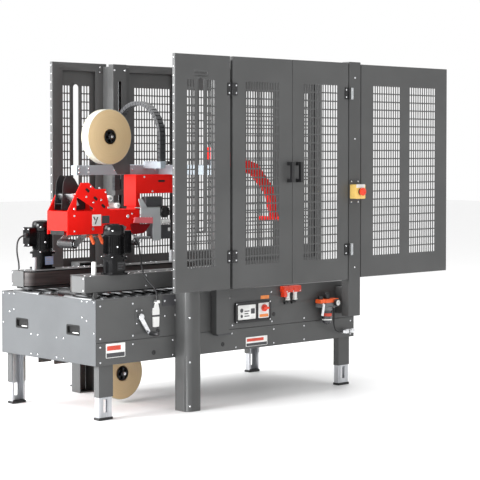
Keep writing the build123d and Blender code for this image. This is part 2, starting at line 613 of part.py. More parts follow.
with BuildPart() as head_crossbar:
    slab(*CROSSBAR_X, -CROSSBAR_HALF, CROSSBAR_HALF, *BEAM_Z)
    slab(BEAM_START, CROSSBAR_X[0], *BEAM_Y, *BEAM_Z)
    slab(712, 750, -108, BEAM_Y[0] + 1, 1310, CHAIN_ENDS[0])
    for side in SIDES.values():
        slab(ROD_X - TONGUE_HALF, ROD_X + TONGUE_HALF, *band(side, CROSSBAR_HALF, ROD_Y), *BEAM_Z)
        block = band(side, ROD_Y - BLOCK_HALF_Y, ROD_Y + BLOCK_HALF_Y)
        slab(ROD_X - BLOCK_HALF_X, ROD_X + BLOCK_HALF_X, *block, *BLOCK_Z)
        rod_z(ROD_X, side * ROD_Y, BLOCK_Z[0] - 1, BLOCK_Z[1] + 1, ROD_RADIUS + RUNNING, Mode.SUBTRACT)
    slab(CROSSBAR_X[1], KICKER_BEAM_END, -30, 30, *BEAM_Z)
    for side in SIDES.values():
        slab(KICKER_X - 40, KICKER_X + 40, *band(side, 24, 30), BEAM_Z[1] - 1, KICKER_Z + 30)
        rod_y(KICKER_X, side * 23, side * 31, KICKER_Z, 8 + RUNNING, Mode.SUBTRACT)
save(head_crossbar, "head_crossbar")

with BuildPart() as head_arm:
    slab(ARM_X, CROSSBAR_X[1], -ARM_HALF, ARM_HALF, *ARM_Z)
    inner = ARM_HALF - 5
    slab(ARM_X + 8, CROSSBAR_X[1] + 1, -inner, inner, ARM_Z[0] + 5, ARM_Z[1] - 5, Mode.SUBTRACT)
    slab(ARM_X, ARM_X + 8, -ARM_HALF, ARM_HALF, 1098, ARM_Z[1])
save(head_arm, "head_arm")

# ---------------------------------------------------------------- upper taping head
HEAD_HALF = 90.0
HEAD_PLATE = 6.0
HEAD_X = (70.0, 572.0)
LOWER_HEAD_X = (70.0, 652.0)
UPPER_Z = (956.0, 1083.0)
ARM_PIVOTS = {"exit": 245.0, "infeed": 470.0}
PIVOT_RADIUS = 8.0
UPPER_PIVOT_Z = 985.0
APPLY_ROLLER = 25.0
UPPER_ROLLER = {"exit": (140.0, 905.0), "infeed": (575.0, 905.0)}
LOWER_PIVOT_Z = 588.0
LOWER_ROLLER = {"exit": (145.0, 636.0), "infeed": (570.0, 636.0)}
HANGER_X = (540.0, 620.0)
HANGER_HALF = 40.0

with BuildPart() as upper_head_frame:
    for side in SIDES.values():
        plate = band(side, HEAD_HALF - HEAD_PLATE, HEAD_HALF)
        slab(*HEAD_X, *plate, *UPPER_Z)
        with BuildSketch(side_plane(side * HEAD_HALF)):
            with BuildLine():
                Polyline((at(72), 1083), (at(166), 1236), (at(216), 1236), (at(262), 1200),
                         (at(334), 1200), (at(362), 1083), close=True)
            make_face()
            with BuildLine():
                Polyline((at(131), 1083), (at(136), 1160), (at(250), 1098), (at(250), 1083), close=True)
            make_face(mode=Mode.SUBTRACT)
        extrude(amount=side * HEAD_PLATE)
        for x in ARM_PIVOTS.values():
            bore = (side * (HEAD_HALF - HEAD_PLATE - 1), side * (HEAD_HALF + 1))
            rod_y(x, *bore, UPPER_PIVOT_Z, PIVOT_RADIUS + RUNNING, Mode.SUBTRACT)
    slab(HEAD_X[0], HEAD_X[0] + 6, -HEAD_HALF, HEAD_HALF, 978, UPPER_Z[1])
    slab(480, HEAD_X[1], -HEAD_HALF, HEAD_HALF, UPPER_Z[1] - 6, UPPER_Z[1])
    slab(*HANGER_X, -HANGER_HALF, HANGER_HALF, UPPER_Z[1] - 6, UPPER_Z[1])
    slab(ARM_X + 8, HANGER_X[1], -HANGER_HALF, HANGER_HALF, UPPER_Z[1] - 1, ARM_Z[0])
    slab(262, 330, -HEAD_HALF, HEAD_HALF, 1150, 1156)
save(upper_head_frame, "upper_head_frame")

with BuildPart() as lower_head_frame:
    for side in SIDES.values():
        plate = band(side, HEAD_HALF - HEAD_PLATE, HEAD_HALF)
        slab(*LOWER_HEAD_X, *plate, 480, 612)
        for x in ARM_PIVOTS.values():
            bore = (side * (HEAD_HALF - HEAD_PLATE - 1), side * (HEAD_HALF + 1))
            rod_y(x, *bore, LOWER_PIVOT_Z, PIVOT_RADIUS + RUNNING, Mode.SUBTRACT)
    slab(LOWER_HEAD_X[0], LOWER_HEAD_X[0] + 6, -HEAD_HALF, HEAD_HALF, 480, 590)
    slab(LOWER_HEAD_X[1] - 6, LOWER_HEAD_X[1], -HEAD_HALF, HEAD_HALF, 480, 590)
    slab(150, 560, -HEAD_HALF, HEAD_HALF, 480, 486)
    slab(LOWER_HEAD_X[1] - 1, CROSS_PLATES[1] - FRAME_SHEET, -40, 40, 480, 520)
    LOWER_ROLL_X = 495.0
    LOWER_ROLL_Z = 166.0
    slab(LOWER_ROLL_X - 30, LOWER_ROLL_X + 30, 37, 43, LOWER_ROLL_Z - 20, 481)
    rod_y(LOWER_ROLL_X, -40, 43, LOWER_ROLL_Z, 15)
save(lower_head_frame, "lower_head_frame")


def roller_arm(pivot_x, pivot_z, roller_x, roller_z):
    """Sprung arm of a taping head: two links on a pivot shaft that carry a tape roller."""
    with BuildPart() as arm:
        rod_y(pivot_x, -HEAD_HALF, HEAD_HALF, pivot_z, PIVOT_RADIUS)
        reach = math.hypot(roller_x - pivot_x, roller_z - pivot_z)
        turn = math.degrees(math.atan2(roller_z - pivot_z, roller_x - pivot_x))
        for y in (-66.0, 74.0):
            with BuildSketch(side_plane(y)):
                with Locations((at((pivot_x + roller_x) / 2), (pivot_z + roller_z) / 2)):
                    SlotCenterToCenter(reach, 32, rotation=turn)
            extrude(amount=8)
        rod_y(roller_x, -64, 64, roller_z, APPLY_ROLLER)
        rod_y(roller_x, -74, 74, roller_z, 8)
    return arm


for end, pivot_x in ARM_PIVOTS.items():
    save(roller_arm(pivot_x, UPPER_PIVOT_Z, *UPPER_ROLLER[end]), f"upper_arm_{end}")
    save(roller_arm(pivot_x, LOWER_PIVOT_Z, *LOWER_ROLLER[end]), f"lower_arm_{end}")

# ---------------------------------------------------------------- tape rolls
ROLL_X = 411.0
ROLL_Z = 1486.0
UPPER_ROLL_RADIUS = 153.0
LOWER_ROLL_RADIUS = 146.0
ROLL_HALF = 31.0
MANDREL = 15.0

with BuildPart() as roll_bracket:
    base = (at(565), 1300.0)
    hub = (at(ROLL_X), ROLL_Z)
    with BuildSketch(side_plane(42)):
        with BuildLine():
            Polyline((base[0] - 45, base[1] - 22), (base[0] + 45, base[1] - 22), (base[0] + 45, base[1] + 30),
                     (hub[0] + 34, hub[1] + 10), (hub[0] - 10, hub[1] + 34), (hub[0] - 30, hub[1] - 10), close=True)
        make_face()
    extrude(amount=5)
    rod_y(ROLL_X, -44, 38, ROLL_Z, MANDREL)
save(roll_bracket, "roll_bracket")


def tape_roll(x, z, radius):
    with BuildPart() as roll:
        rod_y(x, -ROLL_HALF, ROLL_HALF, z, radius)
        rod_y(x, -ROLL_HALF - 1, ROLL_HALF + 1, z, MANDREL + RUNNING, Mode.SUBTRACT)
    return roll


save(tape_roll(ROLL_X, ROLL_Z, UPPER_ROLL_RADIUS), "upper_tape_roll")
save(tape_roll(LOWER_ROLL_X, LOWER_ROLL_Z, LOWER_ROLL_RADIUS), "lower_tape_roll")

# ---------------------------------------------------------------- energy chain
CHAIN_X = (710.0, 752.0)
CHAIN_MIDDLE = 107.0
CHAIN_RADIUS = 215.0
CHAIN_THICK = 24.0
CHAIN_CENTRE_Z = 1478.0

with BuildPart() as energy_chain:
    with BuildSketch(Plane.YZ.offset(at(CHAIN_X[0]))):
        inner = CHAIN_RADIUS - CHAIN_THICK
        with Locations((CHAIN_MIDDLE, CHAIN_CENTRE_Z)):
            Circle(CHAIN_RADIUS)
            Circle(inner, mode=Mode.SUBTRACT)
        with Locations((CHAIN_MIDDLE, CHAIN_CENTRE_Z - CHAIN_RADIUS / 2)):
            Rectangle(2 * CHAIN_RADIUS, CHAIN_RADIUS, mode=Mode.SUBTRACT)
        near_run = CHAIN_MIDDLE - CHAIN_RADIUS + CHAIN_THICK / 2
        far_run = CHAIN_MIDDLE + CHAIN_RADIUS - CHAIN_THICK / 2
        with Locations((near_run, (CHAIN_ENDS[0] + CHAIN_CENTRE_Z) / 2)):
            Rectangle(CHAIN_THICK, CHAIN_CENTRE_Z - CHAIN_ENDS[0])
        with Locations((far_run, (CHAIN_ENDS[1] + CHAIN_CENTRE_Z) / 2)):
            Rectangle(CHAIN_THICK, CHAIN_CENTRE_Z - CHAIN_ENDS[1])
    extrude(amount=CHAIN_X[1] - CHAIN_X[0])
save(energy_chain, "energy_chain")

# ---------------------------------------------------------------- flap kicker
with BuildPart() as flap_kicker:
    with BuildSketch(side_plane(20)):
        with BuildLine():
            Polyline((at(1180), 1360), (at(1185), 1430), (at(1235), 1430), (at(1560), 1330),
                     (at(1700), 1180), (at(1740), 985), (at(1700), 985), (at(1655), 1150),
                     (at(1530), 1270), (at(1235), 1345), close=True)
        make_face()
    extrude(amount=40)
    rod_y(KICKER_X, -30, 30, KICKER_Z, 8)
    rod_y(1720, -120, 120, 995, 14)
save(flap_kicker, "flap_kicker")

# ---------------------------------------------------------------- cables and the air hose
# Routes are control points from the exit end plate, along the way that each cord hangs.
CABLE = 9.0
HOSE = 8.0
CORDS = {
    "motor_cable_near": (CABLE, (
        (314, -305, 942), (346, -305, 942), (374, -309, 922), (380, -322, 876), (374, -338, 824),
        (370, -354, 768), (378, -384, 714), (398, -420, 678), (406, -434, 646), (406, -434, 608))),
    "motor_cable_far": (CABLE, (
        (90, 305, 940), (56, 305, 940), (26, 304, 914), (20, 304, 868), (24, 303, 826),
        (34, 303, 788), (34, 303, 750))),
    "air_hose": (HOSE, (
        (1762, SERVICE_Y, 490), (1762, SERVICE_Y, 455), (1759, SERVICE_Y - 3, 415),
        (1757, SERVICE_Y - 3, 375), (1777, SERVICE_Y - 1, 341), (1808, SERVICE_Y, 330),
        (1835, SERVICE_Y, 330))),
}


def arc_radii(points):
    """As large an arc at each inner point as its two runs allow."""
    radii = []
    for before, point, after in zip(points[:-2], points[1:-1], points[2:]):
        run_in = Vector(*point) - Vector(*before)
        run_out = Vector(*after) - Vector(*point)
        turn = math.radians(run_in.get_angle(run_out))
        radii.append(0.45 * min(run_in.length, run_out.length) / math.tan(turn / 2))
    return radii


for cord_name, (diameter, route) in CORDS.items():
    points = [(at(x), y, z) for x, y, z in route]
    radii = arc_radii(points)
    with BuildPart() as cord:
        with BuildLine() as path:
            FilletPolyline(*points, radius=radii)
        with BuildSketch(Plane(origin=path.line @ 0, z_dir=path.line % 0)):
            Circle(diameter / 2)
        sweep()
    length = path.wires()[0].length
    section = math.pi * diameter ** 2 / 4
    print(cord_name, "length", round(length, 1), "volume ratio", round(cord.part.volume / (section * length), 3),
          "radii in diameters", [round(radius / diameter, 1) for radius in radii])
    save(cord, cord_name)
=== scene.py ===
import math

import bmesh
import bpy
from mathutils import Matrix, Vector
from mathutils.geometry import tessellate_polygon


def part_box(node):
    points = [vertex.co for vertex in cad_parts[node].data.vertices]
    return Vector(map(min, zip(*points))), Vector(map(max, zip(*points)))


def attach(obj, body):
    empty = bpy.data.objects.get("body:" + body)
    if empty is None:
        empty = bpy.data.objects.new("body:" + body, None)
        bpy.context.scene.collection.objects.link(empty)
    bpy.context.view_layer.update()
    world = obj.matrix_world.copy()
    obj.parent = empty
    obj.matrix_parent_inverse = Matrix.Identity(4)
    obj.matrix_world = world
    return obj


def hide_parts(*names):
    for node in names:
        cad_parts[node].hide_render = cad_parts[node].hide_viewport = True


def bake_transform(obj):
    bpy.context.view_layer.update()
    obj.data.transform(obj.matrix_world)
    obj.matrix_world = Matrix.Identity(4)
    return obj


# Carton sealing machine. Metres. X of a place is counted from the exit end plate, as the
# machine's drawings do; a Shape adds EXIT when it becomes a piece. Y is across, Z is up.
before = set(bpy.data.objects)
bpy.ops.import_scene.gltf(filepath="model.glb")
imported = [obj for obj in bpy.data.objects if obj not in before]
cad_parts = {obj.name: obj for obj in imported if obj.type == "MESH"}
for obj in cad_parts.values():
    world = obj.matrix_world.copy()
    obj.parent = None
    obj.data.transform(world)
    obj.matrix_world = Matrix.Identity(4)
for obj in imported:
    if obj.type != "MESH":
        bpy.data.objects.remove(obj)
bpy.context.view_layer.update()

EXIT, BED_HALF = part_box("end_plates")[0][0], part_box("end_plates")[1][1]
BED_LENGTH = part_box("end_plates")[1][0] - EXIT
BED_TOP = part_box("end_plates")[1][2]
GUARD_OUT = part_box("wing_guards")[1][1]
NEAR, FAR = -1, 1
SIDES = {"near": NEAR, "far": FAR}


def span(node):
    """Limits of a CAD node, with X counted from the exit end plate: x0, x1, y0, y1, z0, z1."""
    low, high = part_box(node)
    return low[0] - EXIT, high[0] - EXIT, low[1], high[1], low[2], high[2]


# ---------------------------------------------------------------- camera
CAMERA_PLACE = (-6.423, -6.8465, 1.400)
CAMERA_TURN = math.radians(43.53)       # from +Y towards +X
CAMERA_TILT = math.radians(1.787)       # downwards; the small shift keeps uprights upright
CAMERA_SHIFT = -0.080
CAMERA_LENS = 118.3

camera = bpy.data.objects.new("camera", bpy.data.cameras.new("camera"))
camera.data.lens = CAMERA_LENS
camera.data.shift_y = CAMERA_SHIFT
camera.location = CAMERA_PLACE
camera.rotation_euler = (math.radians(90) - CAMERA_TILT, 0, -CAMERA_TURN)
bpy.context.scene.collection.objects.link(camera)
bpy.context.scene.camera = camera


# ---------------------------------------------------------------- node helpers for materials
def new_material(name, colour, roughness, metallic=0.0):
    material = bpy.data.materials.new(name)
    material.use_nodes = True
    tree = material.node_tree
    shader = tree.nodes["Principled BSDF"]
    shader.inputs["Base Color"].default_value = (*colour, 1)
    shader.inputs["Roughness"].default_value = roughness
    shader.inputs["Metallic"].default_value = metallic
    return material, tree, shader


def noise(tree, scale, detail=3.0, stretch=(1, 1, 1), centre=(0, 0, 0)):
    """Noise in the piece's own coordinates; stretch squeezes it along each axis."""
    coords = tree.nodes.new("ShaderNodeTexCoord")
    mapping = tree.nodes.new("ShaderNodeMapping")
    mapping.inputs["Scale"].default_value = stretch
    mapping.inputs["Location"].default_value = centre
    texture = tree.nodes.new("ShaderNodeTexNoise")
    texture.inputs["Scale"].default_value = scale
    texture.inputs["Detail"].default_value = detail
    tree.links.new(coords.outputs["Object"], mapping.inputs["Vector"])
    tree.links.new(mapping.outputs["Vector"], texture.inputs["Vector"])
    return texture.outputs["Fac"]


def shade(colour, factor):
    return tuple(min(1.0, channel * factor) for channel in colour)


def ramp(tree, fac, low, high, start=0.35, end=0.65):
    node = tree.nodes.new("ShaderNodeValToRGB")
    node.color_ramp.elements[0].position = start
    node.color_ramp.elements[0].color = (*low, 1)
    node.color_ramp.elements[1].position = end
    node.color_ramp.elements[1].color = (*high, 1)
    tree.links.new(fac, node.inputs["Fac"])
    return node.outputs["Color"]


def vary_roughness(tree, shader, fac, low, high):
    node = tree.nodes.new("ShaderNodeMapRange")
    node.inputs["From Min"].default_value = 0.3
    node.inputs["From Max"].default_value = 0.7
    node.inputs["To Min"].default_value = low
    node.inputs["To Max"].default_value = high
    tree.links.new(fac, node.inputs["Value"])
    tree.links.new(node.outputs["Result"], shader.inputs["Roughness"])


def add_bump(tree, shader, fac, strength, distance):
    node = tree.nodes.new("ShaderNodeBump")
    node.inputs["Strength"].default_value = strength
    node.inputs["Distance"].default_value = distance
    tree.links.new(fac, node.inputs["Height"])
    tree.links.new(node.outputs["Normal"], shader.inputs["Normal"])


# ---------------------------------------------------------------- materials
def powder_coat(name, colour, roughness=0.40, specular=0.35):
    """Baked powder coat: orange peel about 2 mm across, slight clouding and rubbed patches."""
    material, tree, shader = new_material(name, colour, roughness)
    cloud = noise(tree, 3.5, 5.0)
    tree.links.new(ramp(tree, cloud, shade(colour, 0.92), shade(colour, 1.08)), shader.inputs["Base Color"])
    vary_roughness(tree, shader, noise(tree, 9.0, 6.0), roughness - 0.05, roughness + 0.07)
    add_bump(tree, shader, noise(tree, 480.0, 2.0), 0.10, 0.0005)
    shader.inputs["Specular IOR Level"].default_value = specular
    return material


def enamel(name, colour, roughness=0.25, coat=0.4):
    """Glossy sprayed enamel with a clear coat and a faint long ripple."""
    material, tree, shader = new_material(name, colour, roughness)
    tree.links.new(ramp(tree, noise(tree, 6.0), shade(colour, 0.93), shade(colour, 1.05)), shader.inputs["Base Color"])
    vary_roughness(tree, shader, noise(tree, 30.0, 4.0), roughness - 0.05, roughness + 0.08)
    add_bump(tree, shader, noise(tree, 160.0), 0.08, 0.0004)
    shader.inputs["Coat Weight"].default_value = coat
    shader.inputs["Coat Roughness"].default_value = 0.10
    shader.inputs["Specular IOR Level"].default_value = 0.15
    return material


def bare_metal(name, colour, roughness, grain=(1, 1, 1), grain_scale=60.0):
    """Plated or ground metal; grain squeezes the noise into brush lines."""
    material, tree, shader = new_material(name, colour, roughness, 1.0)
    lines = noise(tree, grain_scale, 4.0, grain)
    tree.links.new(ramp(tree, lines, shade(colour, 0.85), shade(colour, 1.1)), shader.inputs["Base Color"])
    vary_roughness(tree, shader, noise(tree, 12.0, 5.0), roughness - 0.06, roughness + 0.12)
    add_bump(tree, shader, lines, 0.12, 0.0002)
    return material


def moulded(name, colour, roughness=0.5, texture=700.0):
    """Moulded plastic with a fine spark-eroded texture."""
    material, tree, shader = new_material(name, colour, roughness)
    tree.links.new(ramp(tree, noise(tree, 14.0), shade(colour, 0.88), shade(colour, 1.1)), shader.inputs["Base Color"])
    vary_roughness(tree, shader, noise(tree, 40.0), roughness - 0.06, roughness + 0.08)
    add_bump(tree, shader, noise(tree, texture, 1.0), 0.10, 0.0003)
    return material


def belt_rubber():
    """Drive belt: dark rubber with a fine cross weave and scuffed streaks along it."""
    colour = (0.035, 0.029, 0.028)
    material, tree, shader = new_material("belt_rubber", colour, 0.62)
    streaks = noise(tree, 7.0, 6.0, (0.6, 0.6, 14))
    tree.links.new(ramp(tree, streaks, shade(colour, 0.7), shade(colour, 1.7)), shader.inputs["Base Color"])
    add_bump(tree, shader, noise(tree, 260.0, 1.0, (1, 1, 3)), 0.35, 0.0006)
    return material


def wound_tape(name, centre, light, dark):
    """Side of a tape roll: thin rings of slightly different tan, by distance from the roll's axis."""
    material, tree, shader = new_material(name, light, 0.38)
    coords = tree.nodes.new("ShaderNodeTexCoord")
    offset = tree.nodes.new("ShaderNodeMapping")
    offset.inputs["Location"].default_value = (-centre[0], 0, -centre[2])
    offset.inputs["Scale"].default_value = (1, 0, 1)
    length = tree.nodes.new("ShaderNodeVectorMath")
    length.operation = "LENGTH"
    rings = tree.nodes.new("ShaderNodeTexNoise")
    rings.noise_dimensions = "1D"
    rings.inputs["Scale"].default_value = 240.0
    rings.inputs["Detail"].default_value = 4.0
    tree.links.new(coords.outputs["Object"], offset.inputs["Vector"])
    tree.links.new(offset.outputs["Vector"], length.inputs[0])
    tree.links.new(length.outputs["Value"], rings.inputs["W"])
    tree.links.new(ramp(tree, rings.outputs["Fac"], dark, light, 0.25, 0.6), shader.inputs["Base Color"])
    add_bump(tree, shader, rings.outputs["Fac"], 0.15, 0.0006)
    shader.inputs["Subsurface Weight"].default_value = 0.15
    shader.inputs["Subsurface Radius"].default_value = (0.02, 0.012, 0.006)
    return material


def clear_bowl():
    colour = (0.03, 0.03, 0.035)
    material, tree, shader = new_material("bowl_smoke", colour, 0.18)
    tree.links.new(ramp(tree, noise(tree, 20.0), colour, shade(colour, 1.6)), shader.inputs["Base Color"])
    shader.inputs["Coat Weight"].default_value = 0.6
    return material


PANEL = powder_coat("panel_grey", (0.082, 0.083, 0.083))
END_PANEL = powder_coat("end_panel_grey", (0.080, 0.084, 0.088))
STRUCTURE = powder_coat("structure_grey", (0.072, 0.073, 0.073))
BEAM = powder_coat("beam_grey", (0.33, 0.375, 0.41), 0.45)
HANGER = powder_coat("hanger_grey", (0.45, 0.47, 0.48), 0.45)
DECK_GREY = powder_coat("deck_grey", (0.15, 0.152, 0.155), 0.5, 0.25)
DRIVE_GREY = powder_coat("drive_grey", (0.095, 0.096, 0.096))
RED = enamel("head_red", (0.86, 0.010, 0.006), 0.45, 0.0)
# Darker copy of the head red: painted shade.
SHADED_RED = enamel("head_red_painted_shade", (0.22, 0.004, 0.006), 0.45, 0.0)
# Paler pink copy of the head red: painted highlight.
LIT_RED = enamel("head_red_painted_highlight", (0.76, 0.17, 0.19), 0.40, 0.0)
BLACK = enamel("motor_black", (0.003, 0.003, 0.0035), 0.14, 0.15)
ZINC = bare_metal("zinc", (0.48, 0.49, 0.51), 0.34, (1, 1, 0.05), 90.0)
STEEL = bare_metal("steel", (0.50, 0.51, 0.52), 0.26, (14, 0.4, 14), 20.0)
ROLLER_STEEL = bare_metal("roller_steel", (0.24, 0.245, 0.25), 0.46, (1, 0.05, 1), 120.0)
SCREW_STEEL = bare_metal("screw_steel", (0.80, 0.81, 0.83), 0.22)
ALUMINIUM = bare_metal("pulley_aluminium", (0.58, 0.59, 0.60), 0.35)
PLASTIC = moulded("black_plastic", (0.012, 0.012, 0.013), 0.42)
GLOSS_BLACK = moulded("gloss_black_plastic", (0.003, 0.003, 0.0035), 0.30)
BOX_BLACK = enamel("box_black", (0.003, 0.003, 0.0035), 0.20, 0.1)
LINK_GREY = moulded("link_grey", (0.030, 0.031, 0.034), 0.42)
RUBBER = moulded("cable_rubber", (0.010, 0.010, 0.011), 0.55, 900.0)
WHITE = moulded("white_plastic", (0.78, 0.78, 0.76), 0.35)
YELLOW = moulded("yellow_plastic", (0.86, 0.58, 0.17), 0.34)
RED_PLASTIC = moulded("red_plastic", (0.78, 0.045, 0.012), 0.28)
ORANGE = moulded("orange_plastic", (0.80, 0.11, 0.02), 0.4)
BELT = belt_rubber()
SERVICE = moulded("service_grey", (0.16, 0.165, 0.17), 0.4)
BOWL = clear_bowl()
CARDBOARD = moulded("core_board", (0.42, 0.27, 0.13), 0.8, 300.0)
LABEL_WHITE = moulded("label_white", (0.82, 0.82, 0.80), 0.45, 200.0)
LABEL_DARK = moulded("label_dark", (0.05, 0.05, 0.055), 0.45, 200.0)
LABEL_RED = moulded("label_red", (0.62, 0.06, 0.03), 0.45, 200.0)
LABEL_GREY = moulded("label_grey", (0.40, 0.41, 0.42), 0.45, 200.0)
LABEL_BLUE = moulded("label_blue", (0.30, 0.42, 0.62), 0.35, 200.0)
LABEL_ORANGE = moulded("label_orange", (0.85, 0.26, 0.06), 0.45, 200.0)
# Flat black standing in for holes, slots and recesses: painted shade.
PAINTED_HOLE_SHADE = moulded("hole_painted_shade", (0.004, 0.004, 0.004), 0.8)


# ---------------------------------------------------------------- shapes
def circle(a, b, radius, count=24, start=0.0):
    step = 2 * math.pi / count
    return [(a + radius * math.cos(start + step * i), b + radius * math.sin(start + step * i)) for i in range(count)]


def rounded(points, radius, steps=4):
    """The outline with every corner replaced by an arc of about that radius."""
    result = []
    count = len(points)
    for i, point in enumerate(points):
        corner = Vector(point)
        to_last, to_next = Vector(points[i - 1]) - corner, Vector(points[(i + 1) % count]) - corner
        cut = min(radius, 0.45 * to_last.length, 0.45 * to_next.length)
        start, end = corner + to_last.normalized() * cut, corner + to_next.normalized() * cut
        for k in range(steps + 1):
            t = k / steps
            place = start * (1 - t) ** 2 + corner * 2 * t * (1 - t) + end * t ** 2
            result.append(tuple(place))
    return result


def rectangle(a0, a1, b0, b1, radius=0.0, steps=3):
    corners = [(a0, b0), (a1, b0), (a1, b1), (a0, b1)]
    return rounded(corners, radius, steps) if radius else corners


AXES = {"x": Vector((1, 0, 0)), "y": Vector((0, 1, 0)), "z": Vector((0, 0, 1))}


class Shape:
    """Solids of one piece, gathered in one mesh. X counts from the exit end plate."""

    def __init__(self):
        self.bm = bmesh.new()

    def block(self, x0, x1, y0, y1, z0, z1):
        made = bmesh.ops.create_cube(self.bm, size=1)["verts"]
        size = Matrix.Diagonal((x1 - x0, y1 - y0, z1 - z0, 1))
        middle = Matrix.Translation(((x0 + x1) / 2, (y0 + y1) / 2, (z0 + z1) / 2))
        bmesh.ops.transform(self.bm, matrix=middle @ size, verts=made)
        return made

    def turn(self, verts, angle, axis, centre):
        """Turns vertices about an axis through a point, in degrees."""
        matrix = Matrix.Rotation(math.radians(angle), 3, axis.upper())
        bmesh.ops.rotate(self.bm, cent=centre, matrix=matrix, verts=verts)

    def lathe(self, base, direction, profile, sides=32):
        """Turned solid: profile is (radius, distance along the direction), from one end to the other."""
        base, direction = Vector(base), Vector(direction).normalized()
        turn = direction.to_track_quat("Z", "Y").to_matrix()
        rings, verts = [], []
        for radius, along in profile:
            count = 1 if radius == 0 else sides
            ring = []
            for i in range(count):
                angle = 2 * math.pi * i / sides
                local = Vector((radius * math.cos(angle), radius * math.sin(angle), along))
                ring.append(self.bm.verts.new(base + turn @ local))
            rings.append(ring)
            verts += ring
        for first, second in zip(rings[:-1], rings[1:]):
            for i in range(sides):
                j = (i + 1) % sides
                if len(first) == 1:
                    self.bm.faces.new((first[0], second[i], second[j]))
                elif len(second) == 1:
                    self.bm.faces.new((first[i], second[0], first[j]))
                else:
                    self.bm.faces.new((first[i], second[i], second[j], first[j]))
        for ring, backwards in ((rings[0], True), (rings[-1], False)):
            if len(ring) > 1:
                self.bm.faces.new(ring[::-1] if backwards else ring)
        return verts

    def rod(self, start, end, radius, sides=24, edge=0.0):
        """Round bar with its end edges broken by edge."""
        along = Vector(end) - Vector(start)
        profile = [(radius - edge, 0), (radius, edge), (radius, along.length - edge), (radius - edge, along.length)]
        return self.lathe(start, along, profile if edge else profile[1:3], sides)

    def plate(self, plane, outline, low, high, holes=()):
        """Flat plate: outline and holes in plane xz, yz or xy, between two places across it."""
        loops = [list(outline), *[list(hole) for hole in holes]]
        across = {"xz": 1, "yz": 0, "xy": 2}[plane]

        def point(pair, depth):
            values = list(pair)
            values.insert(across, depth)
            return Vector(values)

        sheets = []
        for depth in (low, high):
            sheets.append([[self.bm.verts.new(point(pair, depth)) for pair in loop] for loop in loops])
        triangles = tessellate_polygon([[Vector((a, b, 0)) for a, b in loop] for loop in loops])
        flat = [[vert for loop in sheet for vert in loop] for sheet in sheets]
        for triangle in triangles:
            self.bm.faces.new([flat[0][i] for i in triangle])
            self.bm.faces.new([flat[1][i] for i in reversed(triangle)])
        for low_loop, high_loop in zip(*sheets):
            for i in range(len(low_loop)):
                j = (i + 1) % len(low_loop)
                self.bm.faces.new((low_loop[i], low_loop[j], high_loop[j], high_loop[i]))
        return flat[0] + flat[1]

    def piece(self, name, body, slot, material, replaces=(), bevel=0.0, segments=2, angle=32, weld=True):
        """Finishes the mesh as one object that rides on a body."""
        if weld:
            bmesh.ops.recalc_face_normals(self.bm, faces=self.bm.faces)
        bmesh.ops.translate(self.bm, vec=(EXIT, 0, 0), verts=self.bm.verts)
        mesh = bpy.data.meshes.new(name)
        self.bm.to_mesh(mesh)
        self.bm.free()
        mesh.shade_smooth()
        mesh.set_sharp_from_angle(angle=math.radians(angle))
        mesh.materials.append(material)
        obj = bpy.data.objects.new(name, mesh)
        bpy.context.scene.collection.objects.link(obj)
        if bevel:
            soften(obj, bevel, segments, angle)
        if body:
            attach(obj, body)
        if replaces:
            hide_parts(*replaces)
        return obj


def soften(obj, width, segments=2, angle=32):
    bevel = obj.modifiers.new("edges", "BEVEL")
    bevel.width = width
    bevel.segments = segments
    bevel.limit_method = "ANGLE"
    bevel.angle_limit = math.radians(angle)
    bevel.use_clamp_overlap = True
    bevel.harden_normals = True


def dress(node, material, bevel=0.0, segments=2):
    """Gives a CAD node its material, and rounds its edges without touching its mesh."""
    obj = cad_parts[node]
    if not obj.material_slots:
        obj.data.materials.append(material)
    for slot in obj.material_slots:
        slot.material = material
    weld = obj.modifiers.new("weld", "WELD")
    weld.merge_threshold = 0.00002
    if bevel:
        soften(obj, bevel, segments, 30)


def screws(name, body, spots, radius=0.0065, material=SCREW_STEEL):
    """Button-head screws: each spot is a place and the direction that its head faces."""
    shape = Shape()
    height = 0.55 * radius
    for place, direction in spots:
        head = ((radius, -0.0005), (radius, 0.25 * height), (0.86 * radius, 0.75 * height),
                (0.6 * radius, height), (0.42 * radius, height), (0.38 * radius, 0.4 * height), (0, 0.4 * height))
        shape.lathe(place, direction, head, 12)
    return shape.piece(name, body, "steel", material, angle=40)


def cord_curve(name, diameter, route):
    """A free cord as a smooth spline through its route, which is in the row frame."""
    curve = bpy.data.curves.new(name, "CURVE")
    curve.dimensions = "3D"
    spline = curve.splines.new("NURBS")
    spline.points.add(len(route) - 1)
    for point, place in zip(spline.points, route):
        point.co = (*place, 1)
    spline.order_u = 3
    spline.use_endpoint_u = True
    spline.resolution_u = 8
    curve.bevel_depth = diameter / 2
    curve.bevel_resolution = 4
    curve.use_fill_caps = True
    obj = bpy.data.objects.new(name, curve)
    bpy.context.scene.collection.objects.link(obj)
    return obj


# ---------------------------------------------------------------- cords
CABLE = 0.009
HOSE = 0.008
NEAR_CABLE = ((0.314, -0.305, 0.942), (0.346, -0.305, 0.942), (0.374, -0.309, 0.922), (0.380, -0.322, 0.876),
              (0.374, -0.338, 0.824), (0.370, -0.354, 0.768), (0.378, -0.384, 0.714), (0.398, -0.420, 0.678),
              (0.406, -0.434, 0.646), (0.406, -0.434, 0.608))
FAR_CABLE = ((0.090, 0.305, 0.940), (0.056, 0.305, 0.940), (0.026, 0.304, 0.914), (0.020, 0.304, 0.868),
             (0.024, 0.303, 0.826), (0.034, 0.303, 0.788), (0.034, 0.303, 0.750))
SERVICE_Y = -BED_HALF - 0.042
AIR_HOSE = ((1.762, SERVICE_Y, 0.490), (1.762, SERVICE_Y, 0.455), (1.759, SERVICE_Y - 0.003, 0.415),
            (1.757, SERVICE_Y - 0.003, 0.375), (1.777, SERVICE_Y - 0.001, 0.341), (1.808, SERVICE_Y, 0.330),
            (1.835, SERVICE_Y, 0.330))


def in_row(route):
    return [(EXIT + x, y, z) for x, y, z in route]


